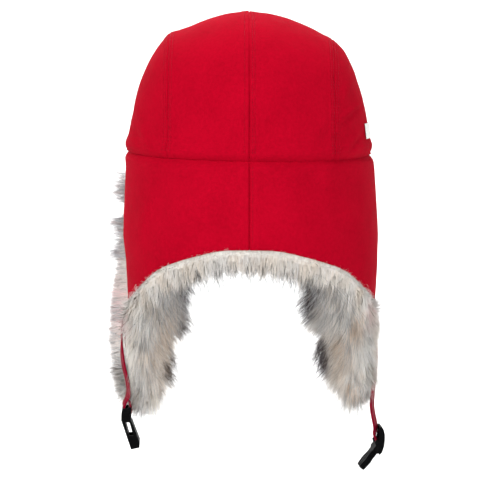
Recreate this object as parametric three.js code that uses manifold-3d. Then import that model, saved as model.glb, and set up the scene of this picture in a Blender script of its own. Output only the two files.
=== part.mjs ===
// Earflap cap, millimetres, +Z up.
// The origin is the middle of the opening where the cap sits on the head.
// +Y is the back of the cap, -Y the front, +X the wearer's left.
import * as THREE from 'three';
import Module from 'manifold-3d';

const wasm = await Module();
wasm.setup();

// ---------------------------------------------------------------- dimensions
const RIM_HALF_WIDTH = 99.4;   // rim seam, side to side
const RIM_HALF_DEPTH = 117;    // rim seam, front to back
const CLOTH = 2;               // outer cotton with its backing
const SEAM_GAP = 0.25;         // each panel stops this far short of its seam
const RIM_GAP = 0.2;           // crown and guard stop this far from the rim seam
const BACK_ROUND = 2.5;        // how square the crown turns over at the back
const FRONT_ROUND = 2.3;       // and at the front
const PUFF = 1.5;              // the crown bulges over the rim seam
const PUFF_HEIGHT = 14;
const SEAM_TILT = 0.016;       // the rim seam runs slightly downhill to the right
const ARC = 105;               // mean plan radius, for distances along the guard

const WEBBING_WIDTH = 15;
const WEBBING = 1.5;
const FUR_CLEAR = 0.6;         // fur to cloth
const FUR_TOP = 5;             // the fur starts this far below the rim

const CLIP_WIDTH = 22;
const CLIP_RAIL = 2.8;
const SOCKET_LENGTH = 32.6;

// Sides of the two clip halves, in each half's own X (its depth) and Z.
const SOCKET_SIDE = [
  [2.7, 1.8], [4.4, -2.4], [5.6, -7.2], [5.4, -9], [3.1, -SOCKET_LENGTH],
  [-4, -SOCKET_LENGTH], [-5.1, -28], [-2.8, -11.4], [-2.1, -9.4], [-5.2, 1.3],
];
const SOCKET_WINDOW = [[2.8, -9.6], [-0.7, -10.4], [-1.25, -21.8], [2.3, -21]];
const SOCKET_HOLLOW = [[3.1, -11.6], [-0.7, -11.6], [-2.6, -36], [1.2, -36]];
const LADDER_SIDE = [
  [2.5, 18.2], [0.8, 18.7], [-0.9, 16.4], [-2.2, 12.4], [-2.6, 8], [-2.6, 3.5],
  [-1.5, -1.8], [0.2, -4.4], [1.4, -3.4], [2.2, 1.5], [2.1, 10], [2.3, 15],
];
const LADDER_LOBE = [[0.6, 7.6], [4.4, 7.6], [5.4, 5.4], [4.4, 3], [2.4, -1.6], [0, -1.6]];

const STATIONS = { side: 8, top: 6, round: 28 };   // mesh steps on a crown panel
const GUARD_STEPS = 42;        // steps along the guard, for cloth and fur alike
const GUARD_ROWS = [0, 0.12, 0.3, 0.5, 0.7, 0.88, 1];   // rim to edge

// Outline of the crown seen from the front or back, left rim over the top to right rim.
const CROWN = [
  { x: 99.4, z: 0, seam: 'rim' },
  { x: 98.9, z: 6 },
  { x: 97.0, z: 18.5 },
  { x: 93.8, z: 34.3 },
  { x: 88.9, z: 54.7 },
  { x: 82.4, z: 71 },
  { x: 75.9, z: 82.6 },
  { x: 68.5, z: 92.2 },
  { x: 64.5, z: 96.6, seam: 'left' },
  { x: 48.1, z: 102.6 },
  { x: 31.8, z: 108.9 },
  { x: 15.5, z: 112.9 },
  { x: 0, z: 114.4, seam: 'centre' },
  { x: -15.5, z: 112.9 },
  { x: -31.8, z: 108.4 },
  { x: -49.8, z: 101.3 },
  { x: -67.5, z: 92.2, seam: 'right' },
  { x: -77.5, z: 82.6 },
  { x: -85.7, z: 66 },
  { x: -92.2, z: 44 },
  { x: -95.8, z: 25 },
  { x: -98.9, z: 6 },
  { x: -99.4, z: 0, seam: 'rim' },
];

// Half width of the guard on each side and its half depth at the back, by height.
const GUARD = [
  { z: 0, left: 99.4, right: 99.4, back: 117 },
  { z: -5, left: 100.8, right: 101.2, back: 118.4 },
  { z: -12, left: 100.3, right: 101.9, back: 118.2 },
  { z: -30, left: 101, right: 103, back: 118 },
  { z: -50, left: 102, right: 104.4, back: 117.5 },
  { z: -68, left: 102.4, right: 105.3, back: 116.5 },
  { z: -90, left: 100.2, right: 105, back: 115 },
  { z: -118, left: 98.8, right: 103.2, back: 113 },
  { z: -150, left: 102.4, right: 103, back: 111 },
  { z: -180, left: 101, right: 102.5, back: 110 },
  { z: -215, left: 97, right: 102, back: 109 },
];

// Lower edge of the guard: turn from the back centre (degrees), height, and the turn on the
// rim that it hangs from; fur depth there, how far the fur laps past the edge, and how far it
// rolls outward on the left and on the right.
const HEM = [
  { turn: 0, z: -69, top: 0, fur: 15, lap: 17, rollLeft: 0, rollRight: 0 },
  { turn: 12, z: -70, top: 12, fur: 15, lap: 17, rollLeft: 0, rollRight: 0 },
  { turn: 24, z: -75, top: 23, fur: 15, lap: 16, rollLeft: 0, rollRight: 0 },
  { turn: 36, z: -81.5, top: 34, fur: 16, lap: 16, rollLeft: 0, rollRight: 0 },
  { turn: 46, z: -88, top: 43, fur: 17, lap: 16, rollLeft: 0, rollRight: 0 },
  { turn: 54, z: -96, top: 50, fur: 19, lap: 16, rollLeft: 0, rollRight: 0 },
  { turn: 62, z: -104, top: 56, fur: 22, lap: 16, rollLeft: 0, rollRight: 0 },
  { turn: 70, z: -111.5, top: 62, fur: 25, lap: 16, rollLeft: 0, rollRight: 0 },
  { turn: 78, z: -118, top: 67, fur: 27, lap: 15, rollLeft: 0, rollRight: 0 },
  { turn: 85, z: -127, top: 72, fur: 29, lap: 14, rollLeft: 0, rollRight: 0 },
  { turn: 90, z: -142, top: 76, fur: 30, lap: 14, rollLeft: 0, rollRight: 0 },
  { turn: 95, z: -158, top: 80, fur: 31, lap: 20, rollLeft: 0, rollRight: 0 },
  { turn: 101, z: -172, top: 84, fur: 31, lap: 29, rollLeft: 0, rollRight: 0 },
  { turn: 108, z: -179, top: 88, fur: 31, lap: 33, rollLeft: 1, rollRight: 0 },
  { turn: 115, z: -176, top: 92, fur: 32, lap: 29, rollLeft: 7, rollRight: 2 },
  { turn: 121, z: -162, top: 96, fur: 33, lap: 21, rollLeft: 15, rollRight: 3 },
  { turn: 125, z: -140, top: 100, fur: 33, lap: 16, rollLeft: 18, rollRight: 3 },
  { turn: 127, z: -112, top: 103, fur: 33, lap: 14, rollLeft: 18, rollRight: 3 },
  { turn: 128.5, z: -84, top: 106, fur: 28, lap: 13, rollLeft: 17, rollRight: 3 },
  { turn: 129.5, z: -56, top: 109, fur: 22, lap: 12, rollLeft: 16, rollRight: 2 },
  { turn: 130, z: -30, top: 112, fur: 16, lap: 10, rollLeft: 12, rollRight: 1 },
  { turn: 130, z: -9, top: 114, fur: 11, lap: 5, rollLeft: 0, rollRight: 0 },
];

// How far the front of each flap follows the oval of the rim: 1 on it, 0 straight forward.
const CURL = { left: 0.35, right: 0.78 };

// Middle line of each strap from its sewn end to its clip.
const STRAP_LEFT = [
  { x: 102.7, z: -138 },
  { x: 103.9, z: -148 },
  { x: 104.4, z: -158 },
  { x: 104.1, z: -168 },
  { x: 102.8, z: -178 },
  { x: 100.6, z: -187 },
  { x: 99.2, z: -195 },
  { x: 99.6, z: -202 },
];
const STRAP_RIGHT = [
  { x: -104.8, z: -138 },
  { x: -104.8, z: -148 },
  { x: -104.7, z: -158 },
  { x: -104.2, z: -172 },
  { x: -103.2, z: -186 },
  { x: -102.0, z: -200 },
  { x: -101.6, z: -212 },
];
const STRAP_Y = -10;
const STRAP_YAW = 12;          // below its seam the webbing turns to face backwards a little

// Place and lean of each clip half: bar end, turn about Y and about Z in degrees.
const SOCKET_PLACE = { x: 101.2, y: STRAP_Y, z: -212.5, lean: 12.8, yaw: 1 };
const LADDER_PLACE = { x: -107.6, y: STRAP_Y, z: -245, lean: -6, yaw: 4, fold: -33 };

// White tag on the right side panel.
const TAG = { front: 5, back: 40, low: 14.5, high: 26.5, thick: 0.7, off: 0.9 };

const RED = 0xc40a24;
const STRAP_RED = 0xa00a28;
const FUR = 0xcdc6be;
const BLACK = 0x1a1a1c;
const WHITE = 0xf2f0ee;

// ------------------------------------------------------------------- helpers
const rad = (d) => (d * Math.PI) / 180;
const lerp = (a, b, t) => a + (b - a) * t;
const clamp = (v, a, b) => Math.min(b, Math.max(a, v));
const ease = (t) => { const c = clamp(t, 0, 1); return c * c * (3 - 2 * c); };

// Smooth value of one column at place t (0 first row, 1 last row).
function along(rows, column, t) {
  const n = rows.length - 1;
  const f = clamp(t, 0, 1) * n;
  const i = Math.min(Math.floor(f), n - 1);
  const s = f - i;
  const p1 = rows[i][column];
  const p2 = rows[i + 1][column];
  const p0 = i > 0 ? rows[i - 1][column] : 2 * p1 - p2;
  const p3 = i < n - 1 ? rows[i + 2][column] : 2 * p2 - p1;
  return 0.5 * (2 * p1 + (p2 - p0) * s + (2 * p0 - 5 * p1 + 4 * p2 - p3) * s * s
    + (3 * p1 - p0 - 3 * p2 + p3) * s * s * s);
}

// Value of a column by height, for a table whose z goes down.
function byHeight(rows, column, z) {
  const zc = clamp(z, rows[rows.length - 1].z, rows[0].z);
  let i = 0;
  while (i < rows.length - 2 && zc < rows[i + 1].z) i++;
  const s = (zc - rows[i].z) / (rows[i + 1].z - rows[i].z);
  return lerp(rows[i][column], rows[i + 1][column], ease(s) * 0.5 + s * 0.5);
}

// A closed solid from points and faces; equal points are joined.
function closed(points, faces) {
  const seen = new Map();
  const where = points.map((p) => {
    const key = `${Math.round(p.x * 2000)},${Math.round(p.y * 2000)},${Math.round(p.z * 2000)}`;
    if (!seen.has(key)) seen.set(key, seen.size);
    return seen.get(key);
  });
  const flat = new Float32Array(seen.size * 3);
  points.forEach((p, i) => flat.set([p.x, p.y, p.z], where[i] * 3));
  let kept = faces.map((f) => f.map((i) => where[i]))
    .filter(([a, b, c]) => a !== b && b !== c && a !== c);
  const at = (i) => new THREE.Vector3(flat[3 * i], flat[3 * i + 1], flat[3 * i + 2]);
  let volume = 0;
  for (const [a, b, c] of kept) volume += at(a).dot(at(b).clone().cross(at(c)));
  if (volume < 0) kept = kept.map(([a, b, c]) => [a, c, b]);
  const geometry = new THREE.BufferGeometry();
  geometry.setAttribute('position', new THREE.BufferAttribute(flat, 3));
  geometry.setIndex(kept.flat());
  geometry.computeVertexNormals();
  return geometry;
}

// A wall between two grids of points of the same size.
function wall(outer, inner) {
  const n = outer.length;
  const m = outer[0].length;
  const points = [...outer.flat(), ...inner.flat()];
  const faces = [];
  const o = (i, j) => i * m + j;
  const k = (i, j) => n * m + i * m + j;
  const quad = (a, b, c, d) => faces.push([a, b, c], [a, c, d]);
  for (let i = 0; i < n - 1; i++) {
    for (let j = 0; j < m - 1; j++) {
      quad(o(i, j), o(i + 1, j), o(i + 1, j + 1), o(i, j + 1));
      quad(k(i, j), k(i, j + 1), k(i + 1, j + 1), k(i + 1, j));
    }
    quad(o(i, 0), k(i, 0), k(i + 1, 0), o(i + 1, 0));
    quad(o(i, m - 1), o(i + 1, m - 1), k(i + 1, m - 1), k(i, m - 1));
  }
  for (let j = 0; j < m - 1; j++) {
    quad(o(0, j), o(0, j + 1), k(0, j + 1), k(0, j));
    quad(o(n - 1, j), k(n - 1, j), k(n - 1, j + 1), o(n - 1, j + 1));
  }
  return closed(points, faces);
}

// A flat ribbon along a line of stops, each with a place and the direction of its width.
function ribbon(stops, width, thick) {
  const points = [];
  const faces = [];
  stops.forEach((s, i) => {
    const before = stops[Math.max(i - 1, 0)].p;
    const after = stops[Math.min(i + 1, stops.length - 1)].p;
    const run = after.clone().sub(before).normalize();
    const across = s.w.clone().normalize();
    const face = run.clone().cross(across).normalize();
    for (const [a, b] of [[1, 1], [-1, 1], [-1, -1], [1, -1]]) {
      points.push(s.p.clone().addScaledVector(across, (a * width) / 2)
        .addScaledVector(face, (b * thick) / 2));
    }
  });
  const last = (stops.length - 1) * 4;
  for (let i = 0; i < stops.length - 1; i++) {
    for (let j = 0; j < 4; j++) {
      const a = i * 4 + j;
      const b = i * 4 + ((j + 1) % 4);
      faces.push([a, b, b + 4], [a, b + 4, a + 4]);
    }
  }
  faces.push([0, 2, 1], [0, 3, 2], [last, last + 1, last + 2], [last, last + 2, last + 3]);
  return closed(points, faces);
}

function toSolid(geometry) {
  const bare = geometry.index ? geometry.toNonIndexed() : geometry;
  const p = bare.attributes.position;
  const points = [];
  for (let i = 0; i < p.count; i++) points.push(new THREE.Vector3().fromBufferAttribute(p, i));
  const faces = [];
  for (let i = 0; i < p.count; i += 3) faces.push([i, i + 1, i + 2]);
  const g = closed(points, faces);
  return new wasm.Manifold(new wasm.Mesh({
    numProp: 3,
    vertProperties: new Float32Array(g.attributes.position.array),
    triVerts: new Uint32Array(g.index.array),
  }));
}

function fromSolid(solid) {
  const mesh = solid.getMesh();
  const geometry = new THREE.BufferGeometry();
  const flat = new Float32Array((mesh.vertProperties.length / mesh.numProp) * 3);
  for (let i = 0; i < flat.length / 3; i++) {
    for (let c = 0; c < 3; c++) flat[3 * i + c] = mesh.vertProperties[i * mesh.numProp + c];
  }
  geometry.setAttribute('position', new THREE.BufferAttribute(flat, 3));
  geometry.setIndex(Array.from(mesh.triVerts));
  geometry.computeVertexNormals();
  return geometry;
}

const box = (x0, x1, y0, y1, z0, z1) => {
  const g = new THREE.BoxGeometry(x1 - x0, y1 - y0, z1 - z0);
  g.translate((x0 + x1) / 2, (y0 + y1) / 2, (z0 + z1) / 2);
  return toSolid(g);
};

// A plate lying in the YZ plane, drawn by its half widths down its length, X is its depth.
function plate(outline, depth, bevel) {
  const shape = new THREE.Shape();
  outline.forEach((r, i) => (i ? shape.lineTo(r.half, r.z) : shape.moveTo(r.half, r.z)));
  [...outline].reverse().forEach((r) => shape.lineTo(-r.half, r.z));
  shape.closePath();
  const g = new THREE.ExtrudeGeometry(shape, {
    depth: depth - 2 * bevel, steps: 1, bevelEnabled: true,
    bevelThickness: bevel, bevelSize: bevel, bevelOffset: -bevel, bevelSegments: 2,
  });
  g.translate(0, 0, -(depth - 2 * bevel) / 2);
  g.applyMatrix4(new THREE.Matrix4().makeBasis(
    new THREE.Vector3(0, 1, 0), new THREE.Vector3(0, 0, 1), new THREE.Vector3(1, 0, 0)));
  return toSolid(g);
}

// A solid drawn from its side in X and Z and as wide as given across Y.
function across(outline, width, bevel) {
  const shape = new THREE.Shape();
  outline.forEach(([x, z], i) => (i ? shape.lineTo(x, z) : shape.moveTo(x, z)));
  shape.closePath();
  const g = new THREE.ExtrudeGeometry(shape, {
    depth: width - 2 * bevel, steps: 1, bevelEnabled: bevel > 0,
    bevelThickness: bevel, bevelSize: bevel, bevelOffset: -bevel, bevelSegments: 2,
  });
  g.translate(0, 0, -(width - 2 * bevel) / 2);
  g.applyMatrix4(new THREE.Matrix4().makeBasis(
    new THREE.Vector3(1, 0, 0), new THREE.Vector3(0, 0, 1), new THREE.Vector3(0, -1, 0)));
  return toSolid(g);
}

// --------------------------------------------------------------------- crown
const tilt = (p, fade) => p.setZ(p.z + SEAM_TILT * p.x * fade);

// Stations of one panel: rows of the outline from one seam to the next, and their inner side.
function stations(from, to, steps) {
  const rows = CROWN.slice(from, to + 1);
  const at = (t) => new THREE.Vector2(along(rows, 'x', t), along(rows, 'z', t));
  const out = [];
  for (let i = 0; i <= steps; i++) out.push(at(i / steps));
  return out;
}

function crownPanels() {
  const cuts = CROWN.map((r, i) => (r.seam ? i : -1)).filter((i) => i >= 0);
  const counts = [STATIONS.side, STATIONS.top, STATIONS.top, STATIONS.side];
  const runs = counts.map((n, k) => stations(cuts[k], cuts[k + 1], n));
  const whole = [];
  runs.forEach((r, k) => r.forEach((p, i) => (k && !i ? null : whole.push(p))));
  // inner outline: each point moved in by the cloth, square to the outline
  const inner = whole.map((p, i) => {
    if (i === 0) return new THREE.Vector2(p.x - CLOTH, 0);
    if (i === whole.length - 1) return new THREE.Vector2(p.x + CLOTH, 0);
    const d = whole[i + 1].clone().sub(whole[i - 1]).normalize();
    return new THREE.Vector2(p.x - d.y * CLOTH, p.y + d.x * CLOTH);
  });
  let start = 0;
  return runs.map((run, k) => {
    const outline = run.map((p, i) => ({ o: whole[start + i].clone(), i: inner[start + i].clone() }));
    start += run.length - 1;
    const shorten = (a, b) => {
      const d = b.o.clone().sub(a.o).normalize();
      a.o.addScaledVector(d, SEAM_GAP);
      a.i.addScaledVector(d, SEAM_GAP);
    };
    if (k > 0) shorten(outline[0], outline[1]);
    if (k < 3) shorten(outline[outline.length - 1], outline[outline.length - 2]);
    return outline;
  });
}

function crownPoint(x, height, theta, inset) {
  const a = RIM_HALF_WIDTH - inset;
  const b = RIM_HALF_DEPTH - inset;
  const depth = b * Math.sqrt(Math.max(0, 1 - (x / a) ** 2));
  const c = Math.cos(theta);
  const s = Math.sin(theta);
  const e = 2 / (c > 0 ? BACK_ROUND : FRONT_ROUND);
  const y = depth * Math.sign(c) * Math.abs(c) ** e;
  const z = height * Math.abs(s) ** e;
  const p = new THREE.Vector3(x, y, z);
  const push = z < PUFF_HEIGHT ? PUFF * Math.sin((Math.PI * z) / PUFF_HEIGHT) : 0;
  const away = new THREE.Vector3(x / a ** 2, y / b ** 2, 0);
  if (away.length() > 0) p.addScaledVector(away.normalize(), push);
  p.z += RIM_GAP;
  return tilt(p, clamp(1 - z / 115, 0, 1));
}

function crownPanel(outline) {
  const grid = (key, inset) => outline.map((row) => {
    const line = [];
    for (let j = 0; j <= STATIONS.round; j++) {
      const theta = (Math.PI * j) / STATIONS.round;
      line.push(crownPoint(row[key].x, Math.max(0, row[key].y), theta, inset));
    }
    return line;
  });
  return wall(grid('o', 0), grid('i', CLOTH));
}

// Where the outside of the crown is, sideways, at a place given by depth and height.
function crownSide(sign, y, z) {
  const rows = CROWN.filter((r) => r.x * sign > 60);
  const ordered = sign > 0 ? rows : [...rows].reverse();
  let lo = 0;
  let hi = 1;
  for (let i = 0; i < 40; i++) {
    const t = (lo + hi) / 2;
    const x = along(ordered, 'x', t);
    const height = Math.max(along(ordered, 'z', t), 1e-6);
    const depth = RIM_HALF_DEPTH * Math.sqrt(Math.max(1e-12, 1 - (x / RIM_HALF_WIDTH) ** 2));
    const n = y > 0 ? BACK_ROUND : FRONT_ROUND;
    if (Math.abs(y / depth) ** n + (z / height) ** n > 1) lo = t; else hi = t;
  }
  return along(ordered, 'x', (lo + hi) / 2);
}

// --------------------------------------------------------------------- guard
function guardPoint(side, turn, z, inset) {
  const half = byHeight(GUARD, side, z);
  const back = byHeight(GUARD, 'back', z);
  const curl = lerp(1, CURL[side], ease(-z / 70));
  const sign = side === 'left' ? 1 : -1;
  const place = (deg) => {
    const s = Math.sin(rad(deg));
    const x = deg > 90 ? half * (1 - (1 - s) * curl) : half * s;
    return new THREE.Vector3(x, back * Math.cos(rad(deg)), z);
  };
  const p = place(turn);
  const run = place(turn + 0.5).sub(place(turn - 0.5));
  const inward = new THREE.Vector3(run.y, -run.x, 0).normalize();
  p.addScaledVector(inward, inset);
  p.x *= sign;
  return tilt(p, clamp(1 + z / 120, 0, 1));
}

const hemAt = (u) => ({
  turn: along(HEM, 'turn', u), z: along(HEM, 'z', u), top: along(HEM, 'top', u),
  fur: along(HEM, 'fur', u), lap: along(HEM, 'lap', u),
  left: along(HEM, 'rollLeft', u), right: along(HEM, 'rollRight', u),
});

// Place on the guard: u along its lower edge, v from the rim (0) to the edge (1),
// past it by so many millimetres square to the edge.
function onGuard(side, u, v, past, inset, topZ) {
  const h = hemAt(u);
  const start = SEAM_GAP / RIM_HALF_WIDTH * (180 / Math.PI);
  let turn = lerp(h.top, h.turn, v);
  let z = lerp(topZ, h.z, v);
  if (past > 0) {
    const a = hemAt(clamp(u - 0.004, 0, 1));
    const b = hemAt(clamp(u + 0.004, 0, 1));
    const run = new THREE.Vector2(rad(b.turn - a.turn) * ARC, b.z - a.z).normalize();
    turn += ((run.y * past) / ARC) * (180 / Math.PI);
    z -= run.x * past;
  }
  return guardPoint(side, Math.max(turn, start), z, inset);
}

function guard(side) {
  const grid = (inset) => {
    const rows = [];
    for (let i = 0; i <= GUARD_STEPS; i++) {
      rows.push(GUARD_ROWS.map((v) => onGuard(side, i / GUARD_STEPS, v, 0, inset, -RIM_GAP)));
    }
    return rows;
  };
  return wall(grid(0), grid(CLOTH));
}

// Fur: rows from the rim down to the edge and then round the lap.
// down is 0 at the rim and 1 at the edge, past the share of the lap, face the share of depth.
const FUR_ROWS = [
  { down: 0, past: 0, face: 0.5, free: 0.8 },
  { down: 0.12, past: 0, face: 0.8 },
  { down: 0.3, past: 0, face: 0.96 },
  { down: 0.5, past: 0, face: 1 },
  { down: 0.7, past: 0, face: 1.02 },
  { down: 0.88, past: 0, face: 1 },
  { down: 1, past: 0.03, face: 0.98 },
  { down: 1, past: 0.3, face: 0.93 },
  { down: 1, past: 0.62, face: 0.8 },
  { down: 1, past: 0.86, face: 0.62 },
  { down: 1, past: 1, face: 0.42 },
];

function fur(side) {
  const outer = [];
  const inner = [];
  for (let i = 0; i <= GUARD_STEPS; i++) {
    const u = i / GUARD_STEPS;
    const h = hemAt(u);
    const backLine = [];
    const faceLine = [];
    FUR_ROWS.forEach((r, j) => {
      const past = r.past * h.lap + (r.past > 0 ? FUR_CLEAR : 0);
      const behind = CLOTH + FUR_CLEAR + h.fur * 0.28 * r.past ** 2
        - h[side] * Math.sin(Math.PI * clamp(r.past * 1.15, 0, 1));
      const wave = 1 + 0.05 * Math.sin(u * 41 + j * 1.3) * Math.sin(j * 0.9 + 0.5);
      const depth = CLOTH + FUR_CLEAR + h.fur * r.face * wave
        - 0.6 * h[side] * Math.sin(Math.PI * clamp(r.past, 0, 1)) * r.past;
      const near = CLOTH + FUR_CLEAR + (r.free ?? 0);
      backLine.push(onGuard(side, u, r.down, past, r.past < 0.1 ? near : behind, -FUR_TOP));
      faceLine.push(onGuard(side, u, r.down, past, Math.max(depth, behind + 2.5), -FUR_TOP));
    });
    outer.push(backLine);
    inner.push(faceLine);
  }
  return wall(outer, inner);
}

// -------------------------------------------------------------------- straps
function clipMatrix(place) {
  const m = new THREE.Matrix4().makeRotationY(rad(place.lean))
    .multiply(new THREE.Matrix4().makeRotationZ(rad(place.yaw)));
  return m.setPosition(place.x, place.y, place.z);
}

function strap(line, place, loop) {
  const m = clipMatrix(place);
  const stops = line.map((r, i) => {
    const yaw = rad(STRAP_YAW * ease((-r.z - 150) / 25));
    const sign = Math.sign(r.x);
    return {
      p: new THREE.Vector3(r.x, STRAP_Y, r.z),
      w: new THREE.Vector3(-sign * Math.sin(yaw), Math.cos(yaw), 0),
    };
  });
  const bar = new THREE.Vector3(0, 1, 0).transformDirection(m);
  const free = stops[stops.length - 1].w;
  for (const [x, z, turned] of loop) {
    stops.push({ p: new THREE.Vector3(x, 0, z).applyMatrix4(m), w: bar.clone().lerp(free, turned ?? 0) });
  }
  const curve = new THREE.CatmullRomCurve3(stops.map((s) => s.p), false, 'centripetal');
  const count = stops.length - 1;
  const fine = [];
  for (let i = 0; i <= count * 2; i++) {
    const k = Math.min(Math.floor(i / 2), count - 1);
    const s = i / 2 - k;
    fine.push({
      p: curve.getPoint(i / (count * 2)),
      w: stops[k].w.clone().lerp(stops[k + 1].w, s),
    });
  }
  return ribbon(fine, WEBBING_WIDTH, WEBBING);
}

// A turn of webbing round a bar: places in the clip's own X and Z.
function round(radius, x, z, from, to, steps) {
  const list = [];
  for (let i = 0; i <= steps; i++) {
    const a = rad(lerp(from, to, i / steps));
    list.push([x + radius * Math.cos(a), z + radius * Math.sin(a)]);
  }
  return list;
}

// -------------------------------------------------------------------- clips
function socket() {
  const half = CLIP_WIDTH / 2;
  let body = plate([
    { half: half - 1, z: 2.6 },
    { half, z: -1.2 },
    { half, z: -9.5 },
    { half: half - 0.9, z: -11.5 },
    { half: half - 0.9, z: -21 },
    { half, z: -23.5 },
    { half, z: -SOCKET_LENGTH + 1 },
    { half: half - 0.8, z: -SOCKET_LENGTH - 0.2 },
  ], 16, 0.7);
  body = body.intersect(across(SOCKET_SIDE, CLIP_WIDTH, 0.7));
  const inside = half - CLIP_RAIL;
  body = body.subtract(box(-8, 8, -inside, inside, -7.6, 4));
  body = body.subtract(across(SOCKET_HOLLOW, 2 * (inside - 0.4), 0));
  body = body.subtract(across(SOCKET_WINDOW, CLIP_WIDTH + 4, 0));
  body = body.add(box(-2.3, -0.5, -inside - 0.6, inside + 0.6, -3.1, -1.3));
  return fromSolid(body);
}

function ladder(place) {
  const half = CLIP_WIDTH / 2;
  let frame = plate([
    { half: half - 1.6, z: 19 },
    { half: half - 0.2, z: 17 },
    { half, z: 14 },
    { half, z: 1 },
    { half: half - 0.6, z: -4.6 },
  ], 14, 0.6);
  frame = frame.intersect(across(LADDER_SIDE, CLIP_WIDTH, 0.6));
  frame = frame.add(across(LADDER_LOBE, CLIP_WIDTH - 0.6, 0.6));
  const inside = half - CLIP_RAIL;
  frame = frame.subtract(box(-8, 8, -inside, inside, 1.8, 13.4));
  frame = frame.add(box(0.4, 1.8, -inside - 0.6, inside + 0.6, 5.6, 7));
  let tongue = plate([
    { half: half - 0.5, z: 2.6 },
    { half: half - 0.5, z: -3.6 },
    { half: half - 3.4, z: -4.8 },
    { half: half - 3.4, z: -9 },
    { half: half - 1.2, z: -12.5 },
    { half: half - 1.6, z: -16 },
    { half: half - 3.8, z: -21.5 },
  ], 5.2, 1.1);
  for (const s of [1, -1]) {
    const y0 = Math.min(s * 2.4, s * 4.6);
    tongue = tongue.subtract(box(-6, 6, y0, y0 + 2.2, -24, -6));
  }
  const collar = plate([
    { half: half - 0.2, z: 2.4 },
    { half: half - 0.2, z: -3 },
  ], 6.2, 0.6);
  tongue = tongue.add(collar);
  const turn = new THREE.Matrix4().makeRotationY(rad(place.fold)).setPosition(2.2, 0, 0.5);
  frame = frame.add(tongue.transform(turn.elements));
  return fromSolid(frame);
}

// ----------------------------------------------------------------------- tag
function tag() {
  const grid = (off) => {
    const rows = [];
    for (let i = 0; i <= 10; i++) {
      const line = [];
      for (let j = 0; j <= 6; j++) {
        const y = lerp(TAG.front, TAG.back, i / 10);
        const z = lerp(TAG.low, TAG.high, j / 6);
        const at = (yy, zz) => new THREE.Vector3(crownSide(-1, yy, zz), yy, zz);
        const p = at(y, z);
        const n = at(y + 0.5, z).sub(at(y - 0.5, z)).cross(at(y, z + 0.5).sub(at(y, z - 0.5)));
        n.normalize();
        if (n.x > 0) n.negate();
        const push = z < PUFF_HEIGHT ? PUFF * Math.sin((Math.PI * z) / PUFF_HEIGHT) : 0;
        p.addScaledVector(n, off + push);
        p.z += RIM_GAP;
        line.push(tilt(p, clamp(1 - z / 115, 0, 1)));
      }
      rows.push(line);
    }
    return rows;
  };
  return wall(grid(TAG.off + TAG.thick), grid(TAG.off));
}

// ------------------------------------------------------------------ assembly
const cap = new THREE.Group();
function piece(name, geometry, colour, roughness, metalness = 0) {
  const mesh = new THREE.Mesh(geometry, new THREE.MeshStandardMaterial({
    color: colour, roughness, metalness,
  }));
  mesh.name = name;
  cap.add(mesh);
  return mesh;
}

const panels = crownPanels();
['crown_side_left', 'crown_top_left', 'crown_top_right', 'crown_side_right']
  .forEach((name, k) => piece(name, crownPanel(panels[k]), RED, 0.85));

for (const side of ['left', 'right']) {
  piece(`guard_${side}`, guard(side), RED, 0.85);
  piece(`fur_${side}`, fur(side), FUR, 0.95);
}

// Stops of each loop in its clip's own X and Z; the third value is the share of the strap's own turn.
const socketLoop = [[0.9, 3.4, 0.5], ...round(2.3, -1.4, -2.2, 0, -180, 6), [-3.8, 2.6, 0.5], [-4, 6.2, 0.5]];
const ladderLoop = [[5.3, 18, 1], [5.1, 13.4, 1], [4.7, 9.6, 0.6], ...round(2.2, 1.1, 6.3, 0, -225, 8)];
piece('strap_left', strap(STRAP_LEFT, SOCKET_PLACE, socketLoop), STRAP_RED, 0.8);
piece('strap_right', strap(STRAP_RIGHT, LADDER_PLACE, ladderLoop), STRAP_RED, 0.8);

const left = piece('clip_socket', socket(), BLACK, 0.45);
left.applyMatrix4(clipMatrix(SOCKET_PLACE));
const right = piece('clip_tongue', ladder(LADDER_PLACE), BLACK, 0.45);
right.applyMatrix4(clipMatrix(LADDER_PLACE));

piece('side_tag', tag(), WHITE, 0.8);

export default cap;
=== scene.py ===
import math

import bpy
import numpy as np
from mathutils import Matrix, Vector
from mathutils.kdtree import KDTree


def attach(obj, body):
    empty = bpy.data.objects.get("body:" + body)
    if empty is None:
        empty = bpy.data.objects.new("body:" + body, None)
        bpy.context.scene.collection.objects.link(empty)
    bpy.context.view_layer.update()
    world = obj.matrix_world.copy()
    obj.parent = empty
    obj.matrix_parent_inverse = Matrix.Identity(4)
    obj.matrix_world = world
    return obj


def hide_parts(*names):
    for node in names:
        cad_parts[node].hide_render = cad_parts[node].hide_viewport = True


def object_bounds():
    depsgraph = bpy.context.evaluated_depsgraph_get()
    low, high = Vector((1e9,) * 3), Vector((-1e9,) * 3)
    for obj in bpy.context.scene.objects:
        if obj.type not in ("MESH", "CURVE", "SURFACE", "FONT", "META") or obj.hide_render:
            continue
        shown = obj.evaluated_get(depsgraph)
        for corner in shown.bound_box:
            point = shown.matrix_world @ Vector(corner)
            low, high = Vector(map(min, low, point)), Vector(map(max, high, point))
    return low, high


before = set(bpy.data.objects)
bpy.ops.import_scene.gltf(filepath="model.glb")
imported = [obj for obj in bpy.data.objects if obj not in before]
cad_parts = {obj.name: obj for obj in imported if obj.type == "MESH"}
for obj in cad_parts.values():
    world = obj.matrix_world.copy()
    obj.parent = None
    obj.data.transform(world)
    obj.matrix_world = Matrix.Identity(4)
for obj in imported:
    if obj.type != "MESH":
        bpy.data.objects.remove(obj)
CAD_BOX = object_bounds()
rng = np.random.default_rng(4309)
MM = 0.001

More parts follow.
